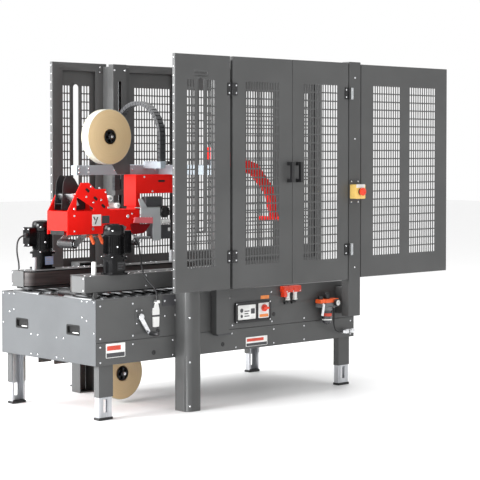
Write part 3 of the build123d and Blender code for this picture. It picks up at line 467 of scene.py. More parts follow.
def spline_length(route):
    """Length of the smooth line over a route, and the points along it."""
    probe = cord_curve("probe", 0, route)
    line = bpy.data.meshes.new_from_object(probe)
    points = [vert.co.copy() for vert in line.vertices]
    bpy.data.objects.remove(probe)
    bpy.data.meshes.remove(line)
    return sum((b - a).length for a, b in zip(points[:-1], points[1:])), points


def held_cord(name, body, diameter, route):
    """A cord whose two ends go back into the machine, both on one body."""
    route = in_row(route)
    length, _ = spline_length(route)
    cord = cord_curve(name, diameter, route)
    cord.data.materials.append(RUBBER)
    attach(cord, body)
    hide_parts(name.replace("_line", ""))


def near_motor_cable():
    """The near motor's cable, as a fixed mesh along its route."""
    route = in_row(NEAR_CABLE)
    length, points = spline_length(route)
    source = cord_curve("near_cable_source", CABLE, route)
    mesh = bpy.data.meshes.new_from_object(source)
    bpy.data.objects.remove(source)
    mesh.shade_smooth()
    mesh.materials.clear()
    mesh.materials.append(RUBBER)
    cable = bpy.data.objects.new("motor_cable_near_line", mesh)
    bpy.context.scene.collection.objects.link(cable)
    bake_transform(cable)
    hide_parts("motor_cable_near")


near_motor_cable()
held_cord("motor_cable_far_line", "drive_far", CABLE, FAR_CABLE)
held_cord("air_hose_line", "frame", HOSE, AIR_HOSE)


# ---------------------------------------------------------------- guards and doors
SHEET = 0.0025
GUARD_DEPTH = 0.025
PITCH_X, PITCH_Z = 0.0207, 0.0485
SLOT_WIDTH, SLOT_HEIGHT = 0.0135, 0.0425
ROWS = 21
MESH_Z = 1.285


def slot_cells(x, z, columns, rows):
    """Grid cells with one upright slot each, centred at one place: limits and slot outline."""
    cells = []
    for column in range(columns):
        for row in range(rows):
            cx = x + (column - (columns - 1) / 2) * PITCH_X
            cz = z + (row - (rows - 1) / 2) * PITCH_Z
            hole = rectangle(cx - SLOT_WIDTH / 2, cx + SLOT_WIDTH / 2, cz - SLOT_HEIGHT / 2, cz + SLOT_HEIGHT / 2, 0.004, 2)
            limits = (cx - PITCH_X / 2, cx + PITCH_X / 2, cz - PITCH_Z / 2, cz + PITCH_Z / 2)
            cells.append((limits, hole))
    return cells


class SheetGrid:
    """Front sheet of a guard as a grid of cells, some with a hole, on one upright plane."""

    def __init__(self, shape, y):
        self.shape, self.y, self.verts = shape, y, {}

    def vert(self, x, z):
        key = (round(x, 5), round(z, 5))
        if key not in self.verts:
            self.verts[key] = self.shape.bm.verts.new((x, self.y, z))
        return self.verts[key]

    def fill(self, x0, x1, z0, z1, cells):
        xs = sorted({round(v, 5) for limits, _ in cells for v in limits[:2]} | {round(x0, 5), round(x1, 5)})
        zs = sorted({round(v, 5) for limits, _ in cells for v in limits[2:]} | {round(z0, 5), round(z1, 5)})
        for a0, a1 in zip(xs[:-1], xs[1:]):
            for b0, b1 in zip(zs[:-1], zs[1:]):
                a, b = (a0 + a1) / 2, (b0 + b1) / 2
                if not any(c[0] < a < c[1] and c[2] < b < c[3] for c, _ in cells):
                    corners = ((a0, b0), (a1, b0), (a1, b1), (a0, b1))
                    self.shape.bm.faces.new([self.vert(*corner) for corner in corners])
        for (a0, a1, b0, b1), hole in cells:
            along = [x for x in xs if a0 - 1e-5 <= x <= a1 + 1e-5]
            up = [z for z in zs if b0 - 1e-5 <= z <= b1 + 1e-5]
            border = [(x, up[0]) for x in along[:-1]] + [(along[-1], z) for z in up[:-1]]
            border += [(x, up[-1]) for x in along[:0:-1]] + [(along[0], z) for z in up[:0:-1]]
            loops = [[Vector((x, z, 0)) for x, z in border], [Vector((x, z, 0)) for x, z in hole]]
            points = border + list(hole)
            for triangle in tessellate_polygon(loops):
                self.shape.bm.faces.new([self.vert(*points[i]) for i in triangle])
        return xs, zs


def guard(name, node, body, side, limits, cells, lips):
    """Folded sheet guard: perforated front, four turned edges and a returned lip inside.
    limits are x0, x1, z0, z1; lips are the lip widths at low X, high X, bottom and top."""
    x0, x1, z0, z1 = limits
    face, back = side * GUARD_OUT, side * (GUARD_OUT - GUARD_DEPTH + SHEET)
    shape = Shape()
    front = SheetGrid(shape, face)
    xs, zs = front.fill(x0, x1, z0, z1, cells)
    rear = SheetGrid(shape, back)
    rim = [(x, zs[0]) for x in xs[:-1]] + [(xs[-1], z) for z in zs[:-1]]
    rim += [(x, zs[-1]) for x in xs[:0:-1]] + [(xs[0], z) for z in zs[:0:-1]]
    for first, second in zip(rim, rim[1:] + rim[:1]):
        shape.bm.faces.new((front.vert(*first), front.vert(*second), rear.vert(*second), rear.vert(*first)))
    i0, i1, j0, j1 = x0 + lips[0], x1 - lips[1], z0 + lips[2], z1 - lips[3]
    edges = {
        "low": [(x, zs[0]) for x in xs] + [(i1, j0), (i0, j0)],
        "high": [(xs[-1], z) for z in zs] + [(i1, j1), (i1, j0)],
        "top": [(x, zs[-1]) for x in xs[::-1]] + [(i0, j1), (i1, j1)],
        "left": [(xs[0], z) for z in zs[::-1]] + [(i0, j0), (i0, j1)],
    }
    for outline in edges.values():
        shape.bm.faces.new([rear.vert(*point) for point in outline])
    bmesh.ops.recalc_face_normals(shape.bm, faces=shape.bm.faces)
    flat = max((f for f in shape.bm.faces if abs(f.calc_center_median().y - face) < 1e-4), key=lambda f: f.calc_area())
    if flat.normal.y * side < 0:
        bmesh.ops.reverse_faces(shape.bm, faces=shape.bm.faces)
    obj = shape.piece(name, body, "panel_grey", PANEL, (node,) if node else (), weld=False)
    soften(obj, 0.003, 3, 40)
    thick = obj.modifiers.new("sheet", "SOLIDIFY")
    thick.thickness = SHEET
    thick.offset = -1
    return obj


def door_pieces():
    """Four doors; each window's middle along the machine and its columns."""
    windows = {"near_exit": (1.0815, 13), "near_infeed": (1.552, 14), "far_exit": (1.208, 14), "far_infeed": (1.552, 14)}
    for place, (x, columns) in windows.items():
        node = f"door_{place}"
        x0, x1, _, _, z0, z1 = span(node)
        side = SIDES[place.split("_")[0]]
        cells = slot_cells(x, MESH_Z, columns, ROWS)
        margin = min(x - x0, x1 - x) - columns * PITCH_X / 2
        guard(f"{node}_sheet", node, node, side, (x0, x1, z0, z1), cells, (margin - 0.012, margin - 0.012, 0.045, 0.045))
        dress(f"fittings_{place}", PLASTIC, 0.003, 3)


EXIT_MESH_X = 0.620
LOW_ROWS = 4


def exit_guard_cells(side):
    """Four full rows, then three columns each side of a tall round-ended slot; near, a short flat slot too."""
    low_z = MESH_Z - (ROWS - LOW_ROWS) / 2 * PITCH_Z
    high_z = MESH_Z + LOW_ROWS / 2 * PITCH_Z
    cells = slot_cells(EXIT_MESH_X, low_z, 10, LOW_ROWS)
    for direction in (-1, 1):
        cells += slot_cells(EXIT_MESH_X + direction * 3.5 * PITCH_X, high_z, 3, ROWS - LOW_ROWS)
    seam = MESH_Z - (ROWS / 2 - LOW_ROWS) * PITCH_Z
    half, radius, top = 2 * PITCH_X, 0.0195, 1.800
    steps = [t * math.pi / 10 for t in range(11)]
    bottom_arc = [(EXIT_MESH_X - radius * math.cos(t), seam + 0.024 - radius * math.sin(t)) for t in steps]
    top_arc = [(EXIT_MESH_X + radius * math.cos(t), top - radius + radius * math.sin(t)) for t in steps]
    cells.append(((EXIT_MESH_X - half, EXIT_MESH_X + half, seam, 1.812), bottom_arc + top_arc))
    if side == NEAR:
        flat_slot = rectangle(EXIT_MESH_X - 0.0455, EXIT_MESH_X + 0.0455, 1.824, 1.834, 0.004, 2)
        cells.append(((EXIT_MESH_X - 3 * PITCH_X, EXIT_MESH_X + 3 * PITCH_X, 1.812, 1.846), flat_slot))
    return cells


def fixed_guards():
    x0, x1, _, _, z0, z1 = span("exit_guards")
    w0, w1, _, _, v0, v1 = span("wing_guards")
    for side_name, side in SIDES.items():
        guard(f"exit_guard_{side_name}", "exit_guards", "frame", side, (x0, x1, z0, z1), exit_guard_cells(side),
              (0.076, 0.086, 0.050, 0.048))
        cells = slot_cells(2.129, MESH_Z + 0.005, 12, ROWS) + slot_cells(2.463, MESH_Z + 0.005, 12, ROWS)
        guard(f"wing_guard_{side_name}", "wing_guards", "frame", side, (w0, w1, v0, v1), cells, (0.06, 0.06, 0.04, 0.04))


def hinge_leaves():
    """Full-height hinge leaves with bright screws; the leaf on each infeed post is light."""
    for place, hinge_x in {"near_exit": 0.850, "near_infeed": 1.792, "far_exit": 0.968, "far_infeed": 1.792}.items():
        side = SIDES[place.split("_")[0]]
        inward = 1 if place.endswith("exit") else -1
        low, high = sorted((side * (GUARD_OUT + 0.0002), side * (GUARD_OUT + 0.0046)))
        for owner, direction in ((f"door_{place}", inward), ("frame", -inward)):
            leaf, spots = Shape(), []
            for z in (0.828, 1.746):
                x0, x1 = sorted((hinge_x + direction * 0.0085, hinge_x + direction * 0.0355))
                leaf.plate("xz", rectangle(x0, x1, z - 0.0345, z + 0.0345, 0.004), low, high)
                for z_screw in (z - 0.021, z + 0.021):
                    spots.append(((hinge_x + direction * 0.026, side * (GUARD_OUT + 0.0046), z_screw), (0, side, 0)))
            light = owner == "frame" and place.endswith("infeed")
            leaf.piece(f"hinge_leaf_{place}_{owner}", owner, "black_plastic", HANGER if light else PLASTIC, bevel=0.001)
            screws(f"hinge_screws_{place}_{owner}", owner, spots, 0.0052)


door_pieces()
fixed_guards()
hinge_leaves()


# ---------------------------------------------------------------- bed, covers and posts
def bed_pieces():
    dress("bed_frame", STRUCTURE, 0.0015)
    dress("end_plates", END_PANEL, 0.003, 3)
    dress("side_covers", PANEL, 0.002)
    dress("side_skirts", PANEL, 0.002)
    dress("top_deck", DECK_GREY)
    dress("bed_rollers", ROLLER_STEEL, 0.0012)
    dress("outer_legs", STRUCTURE, 0.002)
    dress("corner_posts", STRUCTURE, 0.0015)
    dress("head_columns", STRUCTURE, 0.003, 3)
    dress("guard_posts", STRUCTURE, 0.004, 3)
    dress("door_hinges", PLASTIC, 0.001)
    dress("lower_head_frame", RED, 0.0015)
    for end in ("exit", "infeed"):
        dress(f"lower_arm_{end}", STEEL, 0.001)
        dress(f"upper_arm_{end}", STEEL, 0.001)
        for side_name in SIDES:
            dress(f"inner_leg_{end}_{side_name}", ZINC, 0.001)


def rod_sleeves():
    """Bright guide rods in the two head columns, over the CAD's own rods."""
    shape = Shape()
    for side in SIDES.values():
        shape.rod((0.855, side * 0.449, 0.701), (0.855, side * 0.449, 1.899), 0.0104)
    shape.piece("guide_rod_sleeves", "frame", "steel", SCREW_STEEL)


def grip_recesses():
    """Recesses of the two hand grips of the exit end plate, coloured flat black as painted shade, each with a white
    strip at its foot as a painted highlight.
    """
    cups, strips = Shape(), Shape()
    for side in SIDES.values():
        middle = side * 0.2285
        outer = rectangle(middle - 0.056, middle + 0.056, 0.437, 0.492, 0.008)
        inner = rectangle(middle - 0.049, middle + 0.049, 0.444, 0.485, 0.006)
        cups.plate("yz", outer, -0.002, 0.0005, [inner])
        cups.plate("yz", inner, -0.0005, 0.013, [rectangle(middle - 0.0465, middle + 0.0465, 0.4465, 0.4825, 0.005)])
        cups.plate("yz", rectangle(middle - 0.049, middle + 0.049, 0.444, 0.485, 0.004), 0.0120, 0.0145)
        # White strip on the floor of each recess: painted highlight.
        strips.block(0.004, 0.0115, middle - 0.046, middle + 0.010, 0.4465, 0.4510)
    cups.piece("grip_recesses", "frame", "black_plastic", PAINTED_HOLE_SHADE, bevel=0.001)
    strips.piece("grip_painted_highlights", "frame", "zinc", LABEL_WHITE, bevel=0.0008)


def end_plate_details():
    """Screws of the exit and infeed end plates."""
    spots = []
    for side in SIDES.values():
        for y, z in ((0.303, 0.620), (0.347, 0.620), (0.303, 0.535), (0.345, 0.521), (0.145, 0.412), (0.085, 0.412),
                     (0.145, 0.305), (0.085, 0.305), (0.405, 0.620), (0.405, 0.458)):
            spots.append(((0, side * y, z), (-1, 0, 0)))
    screws("end_plate_screws", "frame", spots, 0.0044)
    far_spots = [((BED_LENGTH, side * y, z), (1, 0, 0)) for side in SIDES.values() for y in (0.12, 0.39) for z in (0.33, 0.6)]
    screws("infeed_plate_screws", "frame", far_spots, 0.006)


def cover_details():
    """Screws and plugs of the side covers and skirts on both sides."""
    rows = [(0.03, 0.60), (0.25, 0.60), (0.50, 0.60), (0.70, 0.60), (0.95, 0.585), (1.28, 0.600), (1.52, 0.600),
            (1.92, 0.600), (0.03, 0.43), (0.25, 0.43), (0.70, 0.43), (0.972, 0.43), (1.285, 0.43), (1.55, 0.43),
            (1.92, 0.43), (0.03, 0.385), (0.03, 0.305), (0.25, 0.385), (0.53, 0.385), (0.53, 0.305), (0.59, 0.385),
            (0.72, 0.385), (0.97, 0.385), (0.72, 0.305), (1.00, 0.305), (1.30, 0.385), (1.30, 0.305), (1.55, 0.385),
            (1.55, 0.305), (1.95, 0.385), (1.95, 0.305)]
    spots = [((x, side * BED_HALF, z), (0, side, 0)) for x, z in rows for side in SIDES.values()]
    screws("cover_screws", "frame", spots, 0.0055)
    plugs = Shape()
    for side in SIDES.values():
        for x, z in ((0.422, 0.440), (0.394, 0.328), (0.575, 0.330), (0.900, 0.330), (1.062, 0.470), (1.30, 0.470)):
            profile = ((0.013, 0), (0.013, 0.0012), (0.010, 0.0025), (0.005, 0.0025), (0.004, 0.001), (0, 0.001))
            plugs.lathe((x, side * BED_HALF, z), (0, side, 0), profile, 24)
    plugs.piece("cover_plugs", "frame", "black_plastic", PLASTIC)


def post_details():
    """Screws of the posts, columns and exit guards, a dark bracket under each exit guard, and a painted shadow under
    each head column.
    """
    spots = []
    for side in SIDES.values():
        for z in (0.510, 0.270, 0.032, 0.700):
            spots.append(((0.560, side * 0.525, z), (0, side, 0)))
        for z in (0.52, 0.60):
            for x in (0.470, 0.545):
                spots.append(((x, side * (BED_HALF + 0.004), z), (0, side, 0)))
        for z in (0.72, 1.10, 1.48, 1.84):
            spots.append(((1.845, side * 0.55, z), (0, side, 0)))
        for x in (0.815, 0.895):
            spots.append(((x, side * (0.427 if side > 0 else 0.471), 1.885), (0, -1, 0)))
    screws("post_screws", "frame", spots, 0.006)
    rivets = [((0.434, side * 0.5385, 0.68 + 0.049 * i), (-1, 0, 0)) for i in range(26) for side in SIDES.values()]
    screws("guard_edge_rivets", "frame", rivets, 0.004)
    inner = [((0.785, 0.5255, z), (0, -1, 0)) for z in (1.905, 1.875)]
    screws("guard_inner_screws", "frame", inner, 0.005)
    shape = Shape()
    for side in SIDES.values():
        low, high = sorted((side * BED_HALF, side * (BED_HALF + 0.004)))
        outline = rounded([(0.454, 0.572), (0.582, 0.572), (0.582, 0.629), (0.454, 0.629)], 0.01)
        shape.plate("xz", outline, low, high)
        # Dark strip under each head column: painted shadow.
        low, high = sorted((side * (BED_HALF + 0.001), side * (BED_HALF + 0.040)))
        shape.block(0.825, 0.923, low, high, 0.386, 0.398)
    shape.piece("guard_brackets_and_column_shadows", "frame", "structure_grey", LABEL_DARK, bevel=0.0015)


def leg_details():
    """Black rubber pads, zinc ribs and scale strips of the legs."""
    for end, x in (("exit", 0.076), ("infeed", 1.905)):
        for side_name, side in SIDES.items():
            body = f"leg_{end}_{side_name}"
            y0, y1 = sorted((side * 0.3643, side * 0.4088))
            pad = Shape()
            pad.block(x - 0.047, x + 0.047, y0 - 0.001, y1 + 0.001, 0.0, 0.0135)
            pad.piece(f"foot_pad_{end}_{side_name}", body, "black_plastic", RUBBER, bevel=0.003, segments=3)
            ribs = Shape()
            face = side * 0.4045
            for k in (-0.026, 0.026):
                low, high = sorted((face - side * 0.001, face + side * 0.0012))
                ribs.block(x + k - 0.006, x + k + 0.006, low, high, 0.02, 0.320)
            low, high = sorted((side * 0.3690, side * 0.3660))
            ribs.block(x - 0.040, x - 0.030, low, high, 0.02, 0.325)
            ribs.block(x + 0.030, x + 0.040, low, high, 0.02, 0.325)
            ribs.piece(f"leg_ribs_{end}_{side_name}", body, "zinc", ZINC, bevel=0.0008)
    shape = Shape()
    for side in SIDES.values():
        for x in (0.076, 1.905):
            low, high = sorted((side * 0.3995, side * 0.4012))
            shape.block(x - 0.012, x + 0.012, *sorted((side * 0.4062, side * 0.4050)), 0.34, 0.46)
    shape.piece("leg_scales", "frame", "steel", LABEL_WHITE)


def underside_brackets():
    """Dark brackets with screws under the far edge of the bed."""
    shape = Shape()
    shape.plate("xz", rounded([(0.16, 0.226), (0.25, 0.226), (0.25, 0.262), (0.20, 0.262), (0.20, 0.276), (0.25, 0.276),
                               (0.25, 0.304), (0.16, 0.304)], 0.004), 0.296, 0.300)
    shape.plate("xz", rectangle(0.268, 0.405, 0.206, 0.304, 0.008), 0.296, 0.300)
    shape.block(0.16, 0.40, 0.300, 0.356, 0.298, 0.302)
    shape.piece("underside_brackets", "frame", "structure_grey", STRUCTURE, bevel=0.001)
    spots = [((x, 0.296, z), (0, -1, 0)) for x, z in ((0.285, 0.25), (0.39, 0.275), (0.39, 0.225))]
    screws("underside_screws", "frame", spots, 0.006)


def generic_label(name, x0, x1, z0, z1, y=-BED_HALF, body="frame"):
    """White label with a coloured band and a dark band, and no lettering."""
    height = z1 - z0
    base = Shape()
    base.plate("xz", rectangle(x0, x1, z0, z1, 0.004), y - 0.0006, y)
    base.piece(f"{name}_base", body, "panel_grey", LABEL_WHITE)
    band = Shape()
    band.block(x0 + 0.008, x1 - 0.03, y - 0.0010, y, z0 + 0.52 * height, z1 - 0.16 * height)
    band.piece(f"{name}_band", body, "panel_grey", LABEL_RED)
    low = Shape()
    low.block(x0 + 0.004, x1 - 0.004, y - 0.0010, y, z0 + 0.04 * height, z0 + 0.34 * height)
    low.piece(f"{name}_stripe", body, "panel_grey", LABEL_DARK)


bed_pieces()
rod_sleeves()
grip_recesses()
end_plate_details()
cover_details()
post_details()
leg_details()
underside_brackets()
generic_label("end_label", 0.067, 0.197, 0.325, 0.400)
generic_label("rating_label", 1.078, 1.248, 0.300, 0.353)


# ---------------------------------------------------------------- side belt drives
DRIVE_BOLTS = (0.05, 0.35, 0.42, 0.50, 0.62, 0.72, 0.80, 0.92, 1.0, 1.20)


def belt_outline(radius, side):
    """Round-ended outline about the two pulleys of one drive, seen from above."""
    steps = [t * math.pi / 12 for t in range(13)]
    low = [(0.046 - radius * math.sin(t), side * 0.213 + radius * math.cos(t)) for t in steps]
    high = [(1.210 + radius * math.sin(t), side * 0.213 - radius * math.cos(t)) for t in steps]
    return low + high


def drive_details(side_name):
    """Guide posts, screws, belt strips, a black band under the belt and feet of one belt drive."""
    side = SIDES[side_name]
    body = f"drive_{side_name}"
    dress(f"drive_housing_{side_name}", DRIVE_GREY, 0.003, 3)
    dress(f"drive_belt_{side_name}", BELT, 0.001)
    for end in ("exit", "infeed"):
        dress(f"pulley_{end}_{side_name}", ALUMINIUM, 0.001)
    post = Shape()
    for x in (0.124 if side == NEAR else 0.100, 1.10):
        profile = ((0.0125, 0), (0.0125, 0.064), (0.0105, 0.068), (0.006, 0.069), (0, 0.069))
        post.lathe((x, side * 0.249, 0.750), (0, 0, 1), profile)
    post.piece(f"guide_post_{side_name}", body, "zinc", WHITE if side == NEAR else LABEL_GREY)
    spots = [((0, side * 0.316, z), (-1, 0, 0)) for z in (0.676, 0.738)]
    spots += [((x, side * 0.326, z), (0, side, 0)) for x in (0.42, 0.80, 1.20) for z in (0.680, 0.735)]
    spots += [((x, side * y, 0.750), (0, 0, 1)) for x in DRIVE_BOLTS for y in (0.268, 0.314)]
    screws(f"drive_screws_{side_name}", body, spots, 0.005)
    outline = belt_outline(0.0432, side)
    cover = Shape()
    cover.plate("xy", outline, 0.7502, 0.7515)
    cover.piece(f"belt_top_strip_{side_name}", body, "panel_grey", DRIVE_GREY, bevel=0.0005)
    # Black plate under the belt, for the dark band seen below it.
    lip = Shape()
    lip.plate("xy", outline, 0.6500, 0.6640)
    lip.piece(f"belt_lower_dark_band_{side_name}", body, "black_plastic", PLASTIC, bevel=0.002)
    feet = Shape()
    for x in (0.080, 0.730, 1.140):
        profile = ((0.022, 0), (0.024, 0.004), (0.024, 0.024), (0.018, 0.030))
        feet.lathe((x, side * 0.290, 0.6312), (0, 0, 1), profile)
        feet.block(x - 0.055, x + 0.055, side * 0.290 - 0.020, side * 0.290 + 0.020, 0.650, 0.662)
    feet.piece(f"drive_feet_{side_name}", body, "black_plastic", PLASTIC)


MOTOR_X = {"near": 0.216, "far": 0.196}
# side of the motor, reach from its axis, middle across, foot and top of each terminal box
TERMINAL_BOX = {"near": (1, 0.096, -0.305, 0.862, 0.985), "far": (-1, 0.104, 0.315, 0.877, 0.985)}


def gearmotor(side_name):
    """Upright motor: square gearbox, ribbed case, fan cowl, bolts, terminal box and name plate."""
    side = SIDES[side_name]
    body = f"drive_{side_name}"
    x, y, low, flange = MOTOR_X[side_name], side * 0.305, 0.750, 0.846
    half = 0.054
    shape = Shape()
    square = rectangle(x - half, x + half, y - half, y + half, 0.015, 5)
    waist = rectangle(x - half + 0.008, x + half - 0.008, y - half + 0.008, y + half - 0.008, 0.020, 6)
    shape.plate("xy", square, low, low + 0.010)
    shape.plate("xy", waist, low + 0.010, flange - 0.012)
    shape.plate("xy", square, flange - 0.012, flange)
    case = ((0.056, flange), (0.056, flange + 0.010), (0.0525, flange + 0.014), (0.0525, 0.958), (0.0560, 0.962),
            (0.0585, 0.966), (0.0585, 0.996), (0.0560, 1.008), (0.0500, 1.016), (0.040, 1.0195), (0.030, 1.0195),
            (0.028, 1.017), (0, 1.017))
    shape.lathe((x, y, 0), (0, 0, 1), case, 64)
    for i in range(36):
        fin = shape.block(x + 0.051, x + 0.0572, y - 0.0011, y + 0.0011, flange + 0.016, 0.956)
        shape.turn(fin, 10 * i, "z", (x, y, 0))
    shape.piece(f"gearmotor_case_{side_name}", body, "motor_black", BLACK, (f"gearmotor_{side_name}",), bevel=0.0008)
    outward, wide, y_box, z0, z1 = TERMINAL_BOX[side_name]
    inner, outer = x + outward * 0.050, x + outward * wide
    lid = outer - outward * 0.008
    box = Shape()
    box.plate("yz", rectangle(y_box - 0.029, y_box + 0.029, z0, z1, 0.012, 5), *sorted((inner, lid)))
    box.plate("yz", rectangle(y_box - 0.030, y_box + 0.030, z0 - 0.001, z1, 0.013, 5), *sorted((lid, outer)))
    box.piece(f"terminal_box_{side_name}", body, "motor_black", BOX_BLACK, bevel=0.0025, segments=3)
    spots = [((x + a * 0.046, y + b * 0.046, flange), (0, 0, 1)) for a in (-1, 1) for b in (-1, 1)]
    spots += [((outer, y_box + a * 0.022, z), (outward, 0, 0)) for a in (-1, 1) for z in (z0 + 0.010, z1 - 0.012)]
    spots.append(((x - 0.041, y - 0.041, 0.985), (-1, -1, 0)))
    spots.append(((x - 0.020, y - 0.055, 0.900), (-0.35, -1, 0)))
    screws(f"motor_screws_{side_name}", body, spots, 0.0052)
    plate, marks = Shape(), Shape()
    face = y - half + 0.008
    plate.plate("xz", rectangle(x - 0.016, x + 0.040, 0.774, 0.820, 0.003), face - 0.0012, face + 0.004)
    for row in range(3):
        marks.block(x - 0.010, x + 0.032 - 0.008 * row, face - 0.0016, face, 0.810 - 0.014 * row, 0.814 - 0.014 * row)
    plate.piece(f"motor_label_{side_name}", body, "steel", LABEL_BLUE if side == FAR else GLOSS_BLACK)
    marks.piece(f"motor_label_lines_{side_name}", body, "steel", LABEL_GREY if side == FAR else LABEL_DARK)
    gland = Shape()
    start = Vector(NEAR_CABLE[0] if side == NEAR else FAR_CABLE[0]) - Vector((outward * 0.003, 0, 0))
    if side == NEAR:
        profile = ((0.010, -0.002), (0.016, 0.002), (0.0185, 0.008), (0.0185, 0.018), (0.015, 0.026), (0.0070, 0.031), (0.0048, 0.034))
    else:
        profile = ((0.011, -0.002), (0.011, 0.006), (0.0135, 0.008), (0.0135, 0.016), (0.0095, 0.022), (0.0060, 0.026), (0.0048, 0.030))
    gland.lathe(start, (outward, 0, 0), profile, 24 if side == NEAR else 12)
    gland.piece(f"cable_gland_{side_name}", body, "black_plastic", WHITE if side == NEAR else PLASTIC)


def socket_details():
    """White cable socket on the near side cover: flat where the crank sweeps, thick at its top."""
    shape = Shape()
    x, thin, thick = 0.406, BED_HALF + 0.0085, BED_HALF + 0.025
    outline = [(x - 0.020, 0.465), (x + 0.020, 0.465), (x + 0.023, 0.555), (x + 0.013, 0.596), (x - 0.009, 0.596),
               (x - 0.022, 0.555)]
    shape.plate("xz", rounded(outline, 0.008), -thin, -BED_HALF)
    shape.plate("xz", rounded([(x - 0.010, 0.593), (x + 0.013, 0.593), (x + 0.011, 0.609), (x - 0.008, 0.609)], 0.004),
                -thick, -BED_HALF)
    shape.piece("cable_socket", "frame", "black_plastic", WHITE, bevel=0.002, segments=3)
    relief = Shape()
    relief.lathe((x, -0.434, 0.607), (0, 0, 1), ((0.008, 0), (0.008, 0.004), (0.0065, 0.014), (0.0052, 0.026)), 16)
    relief.piece("cable_socket_relief", "frame", "black_plastic", PLASTIC)
    strap = Shape()
    strap.block(x - 0.0220, x + 0.0222, -thin - 0.001, -BED_HALF, 0.520, 0.530)
    strap.piece("cable_socket_latch", "frame", "black_plastic", LABEL_DARK, bevel=0.001)


for side_name in SIDES:
    drive_details(side_name)
    gearmotor(side_name)
socket_details()


# ---------------------------------------------------------------- tape rolls
def tape_roll(name, node, body):
    """Roll of clear tape: wound sides, glossy rim, board core and a spoked black hub with a bright nut."""
    x0, x1, y0, y1, z0, z1 = span(node)
    x, z = (x0 + x1) / 2, (z0 + z1) / 2
    radius = (x1 - x0) / 2
    half = y1
    sides = wound_tape(f"{name}_sides", (EXIT + x, 0, z), (0.62, 0.455, 0.255), (0.56, 0.405, 0.215))
    rim = moulded(f"{name}_rim", (0.42, 0.405, 0.335), 0.30, 90.0)
    roll = Shape()
    profile = ((0.041, 0.001 - half), (radius - 0.003, -half), (radius - 0.0008, 0.0012 - half), (radius, 0.004 - half),
               (radius, half - 0.004), (radius - 0.0008, half - 0.0012), (radius - 0.003, half), (0.041, half - 0.001))
    roll.lathe((x, 0, z), (0, 1, 0), profile, 96)
    obj = roll.piece(f"{name}_tape", body, "tape", sides, (node,))
    obj.data.materials.append(rim)
    for polygon in obj.data.polygons:
        place = polygon.center
        if math.hypot(place.x - EXIT - x, place.z - z) > radius - 0.004:
            polygon.material_index = 1
    core = Shape()
    outer, inner, end = 0.0425, 0.036, half + 0.001
    core.lathe((x, 0, z), (0, 1, 0), ((outer, -end), (outer, end), (inner, end), (inner, -end), (outer, -end)), 48)
    core.lathe((x, 0, z), (0, 1, 0), ((inner, -half + 0.009), (inner, half - 0.009)), 40)
    core.piece(f"{name}_core", body, "tape", CARDBOARD)
    hub, nut = Shape(), Shape()
    for face in (-1, 1):
        y = face * (half + 0.001)
        ring = ((0.0355, -0.009), (0.0355, 0.001), (0.0325, 0.0022), (0.0315, 0.0005), (0.0315, -0.009))
        hub.lathe((x, y, z), (0, face, 0), ring, 40)
        boss = ((0.017, -0.009), (0.017, 0.0125), (0.0145, 0.0145), (0, 0.0145))
        hub.lathe((x, y, z), (0, face, 0), boss, 32)
        for i in range(5):
            spoke = hub.block(x - 0.0055, x + 0.0055, *sorted((y - face * 0.008, y + face * 0.001)), z + 0.012, z + 0.033)
            hub.turn(spoke, 72 * i + 15, "y", (x, 0, z))
        head = ((0.009, 0), (0.009, 0.006), (0.008, 0.0075), (0.004, 0.0075), (0.0035, 0.010), (0, 0.010))
        nut.lathe((x, y + face * 0.0140, z), (0, face, 0), head, 6)
    hub.piece(f"{name}_hub", body, "black_plastic", GLOSS_BLACK, bevel=0.0006)
    nut.piece(f"{name}_nut", body, "steel", SCREW_STEEL, angle=50)


tape_roll("upper_roll", "upper_tape_roll", "upper_roll")
tape_roll("lower_roll", "lower_tape_roll", "lower_roll")


# ---------------------------------------------------------------- head carriage
def energy_chain():
    """Chain of plastic links from the far column, over, and down to the beam."""
    x0, x1, y0, y1, z0, z1 = span("energy_chain")
    thick = 0.024
    radius = (y1 - y0) / 2 - thick / 2
    middle, centre_z = (y0 + y1) / 2, z1 - radius - thick / 2
    near_low, far_low, pitch = 1.350, z0, 0.0236
    near_run, arc, far_run = centre_z - near_low, math.pi * radius, centre_z - far_low
    count = round((near_run + arc + far_run) / pitch)
    shape = Shape()
    for i in range(count):
        s = (i + 0.5) * (near_run + arc + far_run) / count
        if s < near_run:
            place, angle = (middle - radius, near_low + s), 0.0
        elif s < near_run + arc:
            turn = (s - near_run) / radius
            place, angle = (middle - radius * math.cos(turn), centre_z + radius * math.sin(turn)), turn
        else:
            place, angle = (middle + radius, centre_z - (s - near_run - arc)), math.pi
        y, z = place
        made = []
        for side_x in (x0, x1 - 0.005):
            made += shape.plate("yz", rounded([(y - 0.0112, z - 0.0138), (y + 0.0112, z - 0.0138), (y + 0.0112, z + 0.0138),
                                               (y - 0.0112, z + 0.0138)], 0.005, 2), side_x, side_x + 0.005)
        for y_bar in (y - 0.0105, y + 0.0075):
            made += shape.block(x0 + 0.002, x1 - 0.002, y_bar, y_bar + 0.003, z - 0.0095, z + 0.0095)
        made += shape.block(x0 + 0.003, x1 - 0.003, y - 0.0045, y + 0.0045, z - 0.0122, z + 0.0122)
        shape.turn(made, -math.degrees(angle), "x", (0, y, z))
    obj = shape.piece("energy_chain_links", None, "black_plastic", LINK_GREY)
    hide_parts("energy_chain")
    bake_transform(obj)


